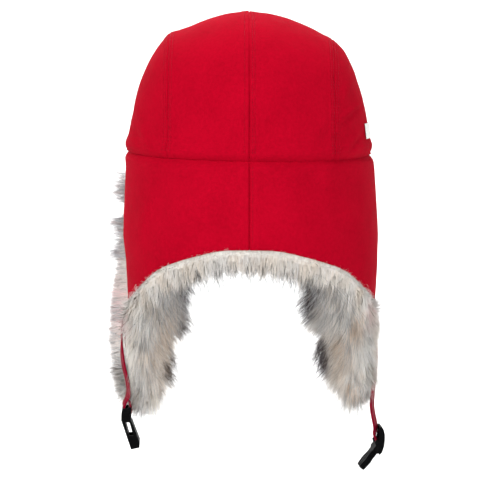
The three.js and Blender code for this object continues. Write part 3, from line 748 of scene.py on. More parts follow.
U_FINE = np.linspace(0, 1, 400)


def guard_normal(side, u, v, past=0.0):
    e = 0.002
    a = on_guard(side, np.clip(u + e, 0, 1), v, past, 0 * u) - on_guard(side, np.clip(u - e, 0, 1), v, past, 0 * u)
    b = on_guard(side, u, np.clip(v + e, 0, 1), past, 0 * u) - on_guard(side, u, np.clip(v - e, 0, 1), past, 0 * u)
    n = unit(np.cross(a, b))
    p = on_guard(side, u, v, past, 0 * u)
    radial = unit(p * np.array([1, 1, 0]))
    flip = np.einsum("...i,...i->...", n, radial) < 0
    n = np.where(flip[..., None], -n, n)
    n[..., 2] *= ease((SEAM_TILT * p[..., 0] - p[..., 2]) / 5.0)
    return unit(n)


GUARD_FOLDS = [  # ends of each soft fold in x and z on the back, width, height
    dict(x0=10, z0=-6, x1=44, z1=-40, width=4.0, high=0.64), dict(x0=-8, z0=-5, x1=-34, z1=-20, width=3.5, high=0.50),
    dict(x0=34, z0=-4, x1=58, z1=-16, width=3.2, high=0.54), dict(x0=-46, z0=-4, x1=-70, z1=-26, width=4.0, high=0.50),
    dict(x0=86, z0=-66, x1=72, z1=-34, width=6.5, high=0.62), dict(x0=-88, z0=-60, x1=-70, z1=-38, width=6.5, high=0.55),
    dict(x0=62, z0=-60, x1=30, z1=-48, width=6.0, high=0.45),
]


def guard_folds(P):
    return 1.6 * fold_height(P, GUARD_FOLDS) * ease(P[..., 1] / 25)


def guard_height(side, P, edge):
    """Relief of the guard: edge is the distance to its lower edge."""
    h = np.zeros(P.shape[:-1])
    below = np.maximum(-P[..., 2] + SEAM_TILT * P[..., 0], 0)
    h -= 0.6 * np.exp(-(below / 1.1) ** 1.4) + 1.25 * np.exp(-(below / 3.0) ** 2)
    d = np.abs(P[..., 0])
    back = ease(P[..., 1] / 30)
    rows = [2.5] if side == "right" else []
    h += back * (seam_profile(d, rows, 0.15 * np.sin(P[..., 2] * 2 * math.pi / 9 + 1)))
    h -= 0.9 * np.exp(-(edge / 1.0) ** 1.5)
    h += 0.18 * np.exp(-((edge - 3.5) / 2.5) ** 2)
    h += 0.40 * waves(P * np.array([1, 1, 0.45]), 51 + (side == "left"), 58) * ease(below / 12)
    h += guard_folds(P)
    h += 0.15 * waves(P, 57 + (side == "left"), 17) * ease(below / 6)
    return h


for side in ("left", "right"):
    u = np.concatenate([[0, 0.0004, 0.0010, 0.0018, 0.0028, 0.0042, 0.0060, 0.0082, 0.0105, 0.013, 0.017, 0.022],
                        np.linspace(0.028, 0.97, 118), [0.975, 0.981, 0.987, 0.992, 0.996, 1.0]])
    v = np.concatenate([[0, 0.006, 0.013, 0.022, 0.034, 0.05, 0.075], np.linspace(0.11, 0.93, 30),
                        [0.95, 0.965, 0.977, 0.986, 0.993, 0.997, 1.0]])
    Ug, Vg = np.meshgrid(u, v, indexing="ij")
    P = on_guard(side, Ug, Vg, 0.0, 0 * Ug)
    N = guard_normal(side, Ug, Vg)
    hem_points = on_guard(side, U_FINE, 0 * U_FINE + 1, 0.0, 0 * U_FINE)
    tree = KDTree(len(hem_points))
    for i, q in enumerate(hem_points):
        tree.insert(q, i)
    tree.balance()
    edge = np.array([tree.find(q)[2] for q in P.reshape(-1, 3)]).reshape(P.shape[:2])
    H = guard_height(side, P, edge)
    outer = P + N * H[..., None]
    thick = CLOTH - 1.0 * np.exp(-(edge / 0.9) ** 1.5)
    inner = P - N * thick[..., None]
    inner[:, 0, 2] = outer[:, 0, 2]
    across = np.concatenate([np.zeros((1, P.shape[1])), np.cumsum(np.linalg.norm(np.diff(P, axis=0), axis=2), axis=0)])
    down = np.concatenate([np.zeros((P.shape[0], 1)), np.cumsum(np.linalg.norm(np.diff(P, axis=1), axis=2), axis=1)], 1)
    ob = wall_object("guard_cloth_" + side, outer, inner, np.stack([across, down], -1))
    ob.data.materials.append(mat_red)
    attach(ob, "root")
    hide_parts("guard_" + side)

# one row of stitches beside the centre back seam, on the right half
zz = np.linspace(-2.5, -67, 120)
turn = np.degrees(2.5 / by_height(3, zz) * (by_height(3, zz) / by_height(2, zz)))
P = guard_at("right", turn, zz, 0 * zz)
N = unit(P * np.array([0.02, 1, 0]))
h = guard_height("right", P, np.abs(zz + 70))
guard_stitches = stitch_mesh("guard_stitching", [(P + N * (h + 0.10)[:, None], N)])

# ---------------------------------------------------------------- fur
# rows of the undercoat's section: down the guard, round the lap, up the face
FUR_ROWS = [(0, 0, 0.5), (0.12, 0, 0.8), (0.3, 0, 0.96), (0.5, 0, 1.0), (0.7, 0, 1.02), (0.88, 0, 1.0),
            (1, 0.03, 0.98), (1, 0.3, 0.93), (1, 0.62, 0.8), (1, 0.86, 0.62), (1, 1.0, 0.42)]
SKIN_DEPTH, SKIN_LAP = 0.74, 0.70     # the undercoat fills this share of the fur's form
NAPE_LAP = 0.78                       # and its lap is shorter still at the nape

PATCHES = [  # side, x, z, half width, half height, tone: dark and warm places in the pelt
    dict(side="left", x=55, z=-124, wx=6.5, wz=17, tone="dark", amount=2.1),
    dict(side="left", x=60, z=-150, wx=5.5, wz=8, tone="dark", amount=1.9),
    dict(side="left", x=66, z=-179, wx=5.5, wz=9, tone="dark", amount=2.1),
    dict(side="left", x=106, z=-135, wx=9, wz=22, tone="pink", amount=0.7),
    dict(side="left", x=80, z=-172, wx=10, wz=26, tone="warm", amount=0.45),
    dict(side="left", x=70, z=-142, wx=8, wz=20, tone="warm", amount=0.5),
    dict(side="right", x=-54, z=-124, wx=7, wz=18, tone="dark", amount=2.2),
    dict(side="right", x=-62, z=-172, wx=6.5, wz=16, tone="dark", amount=2.1),
    dict(side="right", x=-87, z=-140, wx=5, wz=14, tone="warm", amount=0.9),
    dict(side="right", x=-76, z=-158, wx=5, wz=8, tone="warm", amount=0.8),
    dict(side="right", x=-87, z=-193, wx=5, wz=9, tone="warm", amount=0.8),
    dict(side="right", x=-80, z=-172, wx=9, wz=24, tone="warm", amount=0.35),
    dict(side="right", x=-99, z=-128, wx=6, wz=16, tone="pink", amount=0.5),
]
LIFT = {  # the flap's lower end: how much higher the pelt ends, and from which x inwards
    "left": dict(outer=92.0, slope=0.5, most=3.0, inner=60.0), "right": dict(outer=130.0, slope=0.9, most=5.0, inner=60.0),
}
TONES = {
    "light": np.array(srgb(247, 243, 238)), "beige": np.array(srgb(236, 225, 212)),
    "warm": np.array(srgb(214, 188, 162)), "dark": np.array(srgb(72, 64, 67)),
    "grey": np.array(srgb(176, 170, 168)), "white": np.array(srgb(250, 249, 247)),
    "pink": np.array(srgb(244, 206, 206)),
}


def fur_form(side, u, depth_share=1.0, lap_share=1.0):
    """Section points of the fur at each u: backing then face, as in the solid's rows."""
    turn_h, z_h, top, fur, lap, roll_l, roll_r = hem_at(u)
    roll = roll_l if side == "left" else roll_r
    if depth_share < 1:
        roll = roll * (0.28 + 0.72 * ease((-z_h - 72) / 50))
    lines = []
    for face_side in (0, 1):
        line = []
        for (down, past, face) in FUR_ROWS:
            short = 1 - (1 - NAPE_LAP) * (1 - ease((u - 0.20) / 0.16)) * (lap_share < 1)
            pastmm = past * lap * lap_share * short + (FUR_CLEAR if past > 0 else 0)
            behind = CLOTH + FUR_CLEAR + fur * 0.28 * past ** 2 - roll * math.sin(math.pi * min(1, past * 1.15))
            if past < 0.1:
                behind = CLOTH + FUR_CLEAR + 0 * u + (0.8 if down == 0 else 0)
            depth = CLOTH + FUR_CLEAR + fur * face * depth_share - 0.6 * roll * math.sin(math.pi * min(1, past)) * past
            inset = np.maximum(depth, behind + 2.5) if face_side else behind
            line.append(on_guard(side, u, 0 * u + down, pastmm, inset, -FUR_TOP))
        lines.append(line)
    return np.stack(lines[0] + lines[1][::-1], 1)      # (u, rows, 3)


def resample(curve, n):
    """Smooth closed-up section: (k, 3) points to n points by a smooth curve through them."""
    t = np.linspace(0, 1, n)
    return np.stack([along(curve[:, c], t) for c in range(3)], -1)


def fur_skin(side, depth_share, lap_share, nu, nv):
    u = np.linspace(0, 1, nu)
    form = fur_form(side, u, depth_share, lap_share)
    return u, np.stack([resample(form[i], nv) for i in range(nu)])


def tone_at(side, p, noise_a, noise_b):
    """Colour of the pelt at a place: light, streaked with beige, with the dark and warm places."""
    light, beige = TONES["light"], TONES["beige"]
    mix = np.clip(0.42 + 0.55 * noise_a, 0, 1)[:, None]
    col = light * (1 - mix) + beige * mix
    for q in PATCHES:
        if q["side"] != side:
            continue
        d = ((p[:, 0] - q["x"]) / q["wx"]) ** 2 + ((p[:, 2] - q["z"]) / q["wz"]) ** 2
        front = ease((-86 - p[:, 2]) / 10)
        w = np.clip(q["amount"] * np.exp(-d ** 1.4) * front * (1.0 + 0.75 * noise_b), 0, 1)[:, None]
        col = col * (1 - w) + TONES[q["tone"]] * w
    return col


def hair_colour(ob, colours):
    layer = ob.data.color_attributes.new("hair", "FLOAT_COLOR", "POINT")
    layer.data.foreach_set("color", np.concatenate([colours, np.ones((len(colours), 1))], 1).astype(np.float32).ravel())


skins = {}
for side in ("left", "right"):
    u, grid = fur_skin(side, SKIN_DEPTH, SKIN_LAP, 150, 76)
    n = normals_of(grid, grid.mean(axis=1, keepdims=True))
    lump = 0.9 * waves(grid, 71, 22) + 0.5 * waves(grid, 73, 9)
    share = np.abs(np.linspace(-1, 1, grid.shape[1]))[None, :]
    grid = grid + n * (lump * (np.linspace(0, 1, grid.shape[1])[None, :] > 0.36))[..., None]
    q = LIFT[side]
    lift = np.clip((q["outer"] - np.abs(grid[..., 0])) * q["slope"], 0, q["most"])
    lift *= ease((np.abs(grid[..., 0]) - q["inner"]) / 14)
    grid[..., 2] += lift * ease((-166 - grid[..., 2]) / 26)
    nu, nv = grid.shape[:2]
    idx = np.arange(nu * nv).reshape(nu, nv)
    roll = np.roll(idx, -1, axis=1)
    f = np.stack([idx[:-1].ravel(), idx[1:].ravel(), roll[1:].ravel(), roll[:-1].ravel()], 1)
    pts = grid.reshape(-1, 3)
    caps = []
    extra = []
    for row, flip in ((0, False), (nu - 1, True)):
        c = len(pts) + len(extra)
        extra.append(grid[row].mean(axis=0))
        a, b = idx[row], np.roll(idx[row], -1)
        tri = np.stack([np.full(nv, c), a, b], 1) if not flip else np.stack([np.full(nv, c), b, a], 1)
        caps.append(tri)
    pts = np.concatenate([pts, np.array(extra)])
    import bmesh
    me = bpy.data.meshes.new("fur_base_" + side)
    me.from_pydata((pts * MM).tolist(), [], f.tolist() + np.concatenate(caps).tolist())
    bm = bmesh.new()
    bm.from_mesh(me)
    bmesh.ops.recalc_face_normals(bm, faces=bm.faces)
    bm.to_mesh(me)
    bm.free()
    for p in me.polygons:
        p.use_smooth = True
    ob = bpy.data.objects.new("fur_base_" + side, me)
    bpy.context.scene.collection.objects.link(ob)
    ob.data.materials.append(mat_skin)
    na, nb = waves(pts, 81, 16), waves(pts, 83, 11)
    hair_colour(ob, tone_at(side, pts, na, nb))
    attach(ob, "root")
    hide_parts("fur_" + side)
    skins[side] = (u, grid, n)


def smooth_pick(values, u, v):
    """Value of a (nu, nv, ...) grid at places u, v of 0 to 1."""
    nu, nv = values.shape[:2]
    a, b = np.clip(u, 0, 1) * (nu - 1), np.clip(v, 0, 1) * (nv - 1)
    i, j = np.minimum(a.astype(int), nu - 2), np.minimum(b.astype(int), nv - 2)
    s, t = (a - i)[:, None], (b - j)[:, None]
    return (values[i, j] * (1 - s) * (1 - t) + values[i + 1, j] * s * (1 - t)
            + values[i, j + 1] * (1 - s) * t + values[i + 1, j + 1] * s * t)


# How the hair grows in each band of the section (v: 0 backing at the rim, 0.34 edge on the
# outside, 0.5 tip of the lap, 0.66 edge on the face, 1 face at the rim)
GROW = [  # v, density, length mm, outward, down, edgeward
    dict(v=0.24, density=0.0, length=7, out=0.6, down=0.4, edge=0.6),
    dict(v=0.32, density=1.0, length=9, out=0.40, down=0.35, edge=0.9),
    dict(v=0.42, density=1.6, length=16, out=0.50, down=0.5, edge=0.75),
    dict(v=0.50, density=1.8, length=19, out=0.50, down=0.6, edge=0.65),
    dict(v=0.58, density=1.6, length=20, out=0.60, down=0.75, edge=0.4),
    dict(v=0.66, density=1.3, length=19, out=0.60, down=0.9, edge=0.2),
    dict(v=0.80, density=1.0, length=18, out=0.58, down=0.95, edge=0.05),
    dict(v=0.94, density=0.8, length=13, out=0.55, down=0.95, edge=0.0),
    dict(v=1.00, density=0.5, length=9, out=0.5, down=0.95, edge=0.0),
]
NAPE_LENGTH = [(0.0, 0.72), (0.20, 0.72), (0.34, 0.95), (1.0, 1.0)]     # u, share of the length
# How far the hair splays sideways on each flap: x of the flap's middle line, and the half width
SPLAY = {"left": dict(middle=78.0, half=26.0, amount=0.55), "right": dict(middle=-78.0, half=28.0, amount=0.55)}
# The front edge's long hair, which shows beyond the cloth on each side
FLARE = {"left": dict(amount=1.5, longer=3.0), "right": dict(amount=0.8, longer=2.0)}
TUFTS = [  # z of the middle of each tuft of the flared edge, half height, how much longer
    dict(z=-38, half=12, longer=16), dict(z=-66, half=7, longer=20), dict(z=-88, half=10, longer=20),
    dict(z=-112, half=7, longer=15), dict(z=-133, half=8, longer=20), dict(z=-148, half=8, longer=20),
    dict(z=-166, half=8, longer=20), dict(z=-185, half=8, longer=19), dict(z=-198, half=6, longer=12),
]
INNER_TUFTS = [  # side, z, half height, how much longer the hair of the inner edge is
    dict(side="left", z=-112, half=12, longer=2.0), dict(side="left", z=-137, half=12, longer=9.0),
    dict(side="left", z=-166, half=9, longer=-5.0), dict(side="left", z=-188, half=6, longer=4.0),
    dict(side="right", z=-112, half=12, longer=2.5), dict(side="right", z=-131, half=7, longer=1.0),
    dict(side="right", z=-148, half=6, longer=-7.0), dict(side="right", z=-165, half=7, longer=9.0),
    dict(side="right", z=-190, half=12, longer=20.0),
]
# painted shade: the undercoat layers have a lower tone than the guard hairs, for the shade under them
LAYERS = {  # a dense undercoat of soft hair, and longer, straighter guard hairs over it
    "under": dict(length=0.82, width=0.48, steps=2, per_clump=6.0, turn=0.09, own=0.11, gather=(0.10, 0.42),
                  tone=1.06, spread=0.08, stray=0.0),
    "guard": dict(length=1.06, width=0.30, steps=3, per_clump=3.0, turn=0.08, own=0.09, gather=(0.05, 0.6),
                  tone=1.15, spread=0.13, stray=0.08),
    "nape under": dict(length=0.84, width=0.46, steps=2, per_clump=10.0, turn=0.04, own=0.10, gather=(0.0, 0.2),
                       tone=0.99, spread=0.04, stray=0.0),
    "nape guard": dict(length=1.02, width=0.27, steps=3, per_clump=5.0, turn=0.05, own=0.10, gather=(0.0, 0.35),
                       tone=1.06, spread=0.07, stray=0.08),
}
STRAP_CLEAR = 100.4      # the hair behind the left strap lies flat under it, mm from the middle


def grow_value(key, v):
    return np.interp(v, [g["v"] for g in GROW], [g[key] for g in GROW])


def pick_roots(side, count, u_range, v_range, r):
    """Random places on the undercoat, by area and by the density of each band."""
    u_all, grid, nrm = skins[side]
    nu, nv = grid.shape[:2]
    a = grid[1:, :-1] - grid[:-1, :-1]
    b = grid[:-1, 1:] - grid[:-1, :-1]
    area = np.linalg.norm(np.cross(a, b), axis=2)
    uc = (np.arange(nu - 1) + 0.5) / (nu - 1)
    vc = (np.arange(nv - 1) + 0.5) / (nv - 1)
    weight = area * grow_value("density", vc)[None, :]
    weight *= ((uc >= u_range[0]) & (uc < u_range[1]))[:, None]
    weight *= ((vc >= v_range[0]) & (vc < v_range[1]))[None, :]
    # the ear flap's face is seen more than the neck's
    weight *= np.interp(uc, [0, 0.25, 0.4, 1], [0.9, 0.9, 1.1, 1.1])[:, None]
    # the flared edge is thin and tufted above, full below
    cell = (grid[1:, 1:] + grid[:-1, :-1]) * 0.5
    tufted = np.zeros(cell.shape[:2])
    for q in TUFTS:
        tufted = np.maximum(tufted, np.exp(-((cell[..., 2] - q["z"]) / q["half"]) ** 2))
    thin = ease((cell[..., 2] + 84) / 22) * ease((-22 - cell[..., 1]) / 22) * (vc < 0.62)[None, :]
    weight *= 1 - thin * (1 - (0.12 + 0.25 * tufted))
    flat = weight.ravel() / weight.sum()
    pick = r.choice(len(flat), count, p=flat)
    u = (pick // (nv - 1) + r.random(count)) / (nu - 1)
    v = (pick % (nv - 1) + r.random(count)) / (nv - 1)
    return u, v, smooth_pick(grid, u, v), unit(smooth_pick(nrm, u, v))


def nearest(points, seats):
    tree = KDTree(len(seats))
    for i, q in enumerate(seats):
        tree.insert(q, i)
    tree.balance()
    return np.array([tree.find(q)[1] for q in points])


def strands(side, count, u_range, v_range, seed, layer):
    """Roots, bends and tips of tapered hairs: wide locks that lean together, and clumps of a few hairs."""
    r = np.random.default_rng(seed)
    u, v, root, n = pick_roots(side, count, u_range, v_range, r)
    # the way to the guard's edge along its surface
    e1 = on_guard(side, u, 0 * u + 1, 6.0, 0 * u)
    e0 = on_guard(side, u, 0 * u + 1, 0.0, 0 * u)
    edge = unit(e1 - e0)
    down = np.array([0, 0, -1.0])
    # locks are the same for both layers
    r_lock = np.random.default_rng(700 + int(100 * v_range[0]) + (50 if side == "left" else 0))
    _, _, lock_seat, _ = pick_roots(side, 330, u_range, v_range, r_lock)
    lock = nearest(root, lock_seat)
    lock_turn = r_lock.normal(size=(330, 3)) * 0.15
    lock_len = np.clip(r_lock.normal(1.0, 0.10, 330), 0.75, 1.3)
    lock_tone = r_lock.normal(size=330)
    nc = max(60, int(count / layer["per_clump"]))
    ci = r.choice(count, nc, replace=False)
    which = nearest(root, root[ci])
    clump_turn = r.normal(size=(nc, 3)) * layer["turn"]
    clump_len = np.clip(r.normal(1.0, 0.12, nc), 0.7, 1.35)
    clump_tone = r.normal(size=nc)
    sg = 1.0 if side == "left" else -1.0
    flap = ease((u - 0.30) / 0.12)
    sp = SPLAY[side]
    splay = np.clip((root[:, 0] - sp["middle"]) / sp["half"], -1.2, 1.2) * sp["amount"] * flap
    # the front edge, where the hair stands out to the side
    fl = FLARE[side]
    band = ease((v - 0.26) / 0.08) * (1 - ease((v - 0.60) / 0.10))
    flare = fl["amount"] * ease((-22 - root[:, 1]) / 16) * band * ease((u - 0.42) / 0.1)
    side_way = np.array([sg, 0, 0])
    # the inner edge under the nape, where the hair reaches towards the middle
    inside = ease((76 - sg * root[:, 0]) / 12) * ease((-92 - root[:, 2]) / 8) * flap
    inner = inside * ease((root[:, 2] + 156) / 14)
    swirl = np.stack([waves(root, 91 + i, 34) for i in range(3)], -1) * 0.22
    full = np.clip(flare, 0, 1)
    grow_dir = (n * grow_value("out", v)[:, None] + down * (grow_value("down", v) * (1 - 0.55 * full))[:, None]
                + edge * (grow_value("edge", v) * (1 - 0.6 * full))[:, None]
                + swirl + lock_turn[lock] + clump_turn[which] + r.normal(size=(count, 3)) * layer["own"]
                + np.array([1.0, 0, 0]) * splay[:, None] + side_way * (flare - 0.8 * inner)[:, None])
    # hair next to the strap leans away from it
    near_strap = (side == "left") * ease((root[:, 1] + 24) / 8) * ease((-140 - root[:, 2]) / 8) * ease((root[:, 0] - 84) / 6)
    grow_dir[:, 0] -= sg * near_strap * 0.6 * np.maximum(sg * grow_dir[:, 0], 0)
    grow_dir = unit(grow_dir)
    stray = r.random(count) < layer["stray"]
    length = grow_value("length", v) * layer["length"] * lock_len[lock] * clump_len[which]
    length = length * np.clip(r.normal(1, 0.12, count), 0.6, 1.4)
    length = np.where(stray, length * r.uniform(1.1, 1.5, count), length)
    length = length + full * fl["longer"] * r.uniform(0.3, 1.0, count)
    if side == "left":
        length = length + 7.0 * ease((-184 - root[:, 2]) / 10) * ease((sg * root[:, 0] - 76) / 8)
    length = length + 7.0 * inner
    for q in INNER_TUFTS:
        if q["side"] == side:
            length = length + q["longer"] * inside * np.exp(-((root[:, 2] - q["z"]) / q["half"]) ** 2)
    length = np.maximum(length, 4.0)
    # short at the nape and at the rim end
    length *= np.interp(u, [q[0] for q in NAPE_LENGTH], [q[1] for q in NAPE_LENGTH])
    length *= np.interp(u, [0, 0.93, 0.985, 1.0], [1, 1, 0.7, 0.45])
    gather = np.where(stray, 0.05, r.uniform(*layer["gather"], count))[:, None]
    seat = root[ci][which]
    seat_dir = grow_dir[ci][which]
    tip_own = root + grow_dir * length[:, None]
    tip_clump = seat + seat_dir * length[:, None]
    tip = tip_own * (1 - gather) + tip_clump * gather
    sag = (length ** 2)[:, None] * 0.005 * down * r.uniform(0.6, 1.4, count)[:, None]
    mid_dir = unit(n * 0.8 + grow_dir * 1.0)
    ctrl = root + mid_dir * (length * 0.42)[:, None]
    tip = tip + sag
    if side == "left":
        keep = STRAP_CLEAR + r.normal(0, 0.35, count)
        flat = near_strap > 0.3
        for q in (tip, ctrl):
            q[:, 0] = np.where(flat & (q[:, 0] > keep), keep, q[:, 0])
    tone = 1 + 0.045 * lock_tone[lock] + 0.055 * clump_tone[which]
    return root, n, ctrl, tip, length, stray, tone, 0.5 * lock_tone[lock] + 0.35 * clump_tone[which], r


def build_strands(name, side, count, u_range, v_range, seed, layer):
    root, n, ctrl, tip, length, stray, tone, tone_shift, r = strands(side, count, u_range, v_range, seed, layer)
    steps = layer["steps"]
    box_lo, box_hi = np.array(CAD_BOX[0]) * 1000, np.array(CAD_BOX[1]) * 1000
    side_len = box_hi - box_lo
    room = side_len * 0.03 + 9.0
    root = root - n * 1.0
    ts = np.linspace(0, 1, steps + 1)
    pts = []
    for t in ts:
        p = root * (1 - t) ** 2 + ctrl * 2 * t * (1 - t) + tip * t ** 2
        pts.append(np.clip(p, box_lo - room, box_hi + room))
    w0 = layer["width"] * np.where(stray, 0.7, 1.0) * np.clip(r.normal(1, 0.2, count), 0.6, 1.5)
    spin = unit(n + r.normal(size=(count, 3)) * 0.4)
    verts = []
    for i, t in enumerate(ts[:-1]):
        run = unit(pts[i + 1] - pts[i])
        w = unit(np.cross(run, spin))
        half = (w0 * (1 - t) ** 0.55 * 0.5)[:, None]
        verts += [pts[i] - w * half, pts[i] + w * half]
    verts.append(pts[-1])
    k = len(verts)
    V = np.stack(verts, 1).reshape(-1, 3)
    base = (np.arange(count) * k)[:, None]
    tri = []
    for i in range(steps - 1):
        a, b, c, d = 2 * i, 2 * i + 1, 2 * i + 3, 2 * i + 2
        tri += [(a, b, c), (a, c, d)]
    tri.append((2 * (steps - 1), 2 * (steps - 1) + 1, k - 1))
    F = (base[:, :, None] + np.array(tri)[None]).reshape(-1, 3)
    ob = mesh_object(name, V, F)
    na, nb = waves(root, 81, 16), waves(root, 83, 11)
    mid = (root + tip) * 0.5
    c = tone_at(side, mid, na + tone_shift + r.normal(size=count) * 0.3,
                nb + tone_shift * 0.8 + r.normal(size=count) * 0.35)
    bright = np.clip(layer["tone"] * tone + r.normal(0, layer["spread"], count), 0.6, 1.25)[:, None]
    pale = np.clip(c.mean(axis=1, keepdims=True) / 0.6, 0, 1) ** 2
    col = []
    for i, t in enumerate(ts):
        # painted shade: each hair's colour darkens towards its root, for the shade deep in the pelt
        root_painted_shade = 0.87 + 0.13 * min(1, t * 2.0)
        white = 0.20 * t * pale
        q = c * root_painted_shade * bright * (1 - white) + TONES["white"] * white * layer["tone"]
        col += [q] if i == steps else [q, q]
    hair_colour(ob, np.clip(np.stack(col, 1).reshape(-1, 3), 0, 1))
    # hairs are lit as one soft surface: each point faces away from the pelt
    soft = []
    for i, t in enumerate(ts):
        q = unit(n * 1.0 + unit(tip - root) * (0.35 + 0.3 * t))
        soft += [q] if i == steps else [q, q]
    soft = np.stack(soft, 1).reshape(-1, 3)
    ob.data.normals_split_custom_set_from_vertices(soft.tolist())
    ob.data.materials.append(mat_fur)
    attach(ob, "root")
    return ob


JOBS = [  # name, side, hairs under, guard hairs, u range, v range, seed
    ("left_lap", "left", 24000, 10500, (0.30, 1.0), (0.26, 0.60), 1),
    ("left_face", "left", 20000, 10000, (0.30, 1.0), (0.60, 1.0), 2),
    ("right_lap", "right", 24000, 10500, (0.30, 1.0), (0.26, 0.60), 3),
    ("right_face", "right", 20000, 10000, (0.30, 1.0), (0.60, 1.0), 4),
    ("nape_left", "left", 8500, 4500, (0.0, 0.30), (0.26, 1.0), 5),
    ("nape_right", "right", 8500, 4500, (0.0, 0.30), (0.26, 1.0), 6),
]
for (name, side, under, guard, ur, vr, seed) in JOBS:
    nape = "nape " if name.startswith("nape") else ""
    build_strands("fur_under_" + name, side, under, ur, vr, seed, LAYERS[nape + "under"])
    build_strands("fur_hair_" + name, side, guard, ur, vr, seed + 40, LAYERS[nape + "guard"])


def wisps(name, roots, normals, tips, width, tones, seed):
    """Single long hairs: thin ribbons from root to tip that curve a little."""
    r = np.random.default_rng(seed)
    count = len(roots)
    steps = 3
    ts = np.linspace(0, 1, steps + 1)
    span = tips - roots
    lengths = np.linalg.norm(span, axis=1)
    ways = unit(span)
    bend = unit(np.cross(ways, r.normal(size=(count, 3)))) * (lengths * r.uniform(-0.17, 0.17, count))[:, None]
    ctrl = (roots + tips) * 0.5 + bend + np.array([0, 0, 1.0]) * (lengths * 0.05)[:, None]
    box_lo, box_hi = np.array(CAD_BOX[0]) * 1000, np.array(CAD_BOX[1]) * 1000
    room = (box_hi - box_lo) * 0.03 + 9.0
    pts = [np.clip(roots * (1 - t) ** 2 + ctrl * 2 * t * (1 - t) + tips * t ** 2, box_lo - room, box_hi + room) for t in ts]
    spin = unit(normals + r.normal(size=(count, 3)) * 0.5)
    w0 = width * r.uniform(0.7, 1.3, count)
    verts = []
    for i, t in enumerate(ts[:-1]):
        w = unit(np.cross(unit(pts[i + 1] - pts[i]), spin))
        half = (w0 * (1 - t) ** 0.5 * 0.5)[:, None]
        verts += [pts[i] - w * half, pts[i] + w * half]
    verts.append(pts[-1])
    k = len(verts)
    base = (np.arange(count) * k)[:, None]
    tri = []
    for i in range(steps - 1):
        q = 2 * i
        tri += [(q, q + 1, q + 3), (q, q + 3, q + 2)]
    tri.append((2 * (steps - 1), 2 * (steps - 1) + 1, k - 1))
    F = (base[:, :, None] + np.array(tri)[None]).reshape(-1, 3)
    ob = mesh_object(name, np.stack(verts, 1).reshape(-1, 3), F)
    hair_colour(ob, np.clip(np.repeat(tones, k, axis=0), 0, 1))
    soft = np.repeat(unit(normals + 0.4 * ways), k, axis=0)
    ob.data.normals_split_custom_set_from_vertices(soft.tolist())
    ob.data.materials.append(mat_fur)
    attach(ob, "root")
    return ob


def skin_place(side, u, v):
    _, grid, nrm = skins[side]
    return smooth_pick(grid, u, v), unit(smooth_pick(nrm, u, v))


STRIP = [(54, 108.0), (68, 111.0), (84, 113.0), (100, 114.5), (118, 117.0), (132, 119.0), (150, 120.8),
         (168, 120.6), (182, 119.0), (194, 115.0), (207, 108.0)]     # depth below the rim, how far out
COVER = {  # depth below the rim, how far out the hair next to the strap reaches
    "left": [(136, 101.0), (150, 100.6), (160, 100.8), (170, 100.4), (180, 99.2), (190, 97.6), (200, 96.6)],
    "right": [(130, 105.5), (140, 107.0), (150, 108.0), (158, 107.0), (166, 107.2), (176, 107.4), (186, 107.6),
              (193, 108.0), (200, 105.0)],
}
COVER_TOP = {"left": -132.0, "right": -118.0}


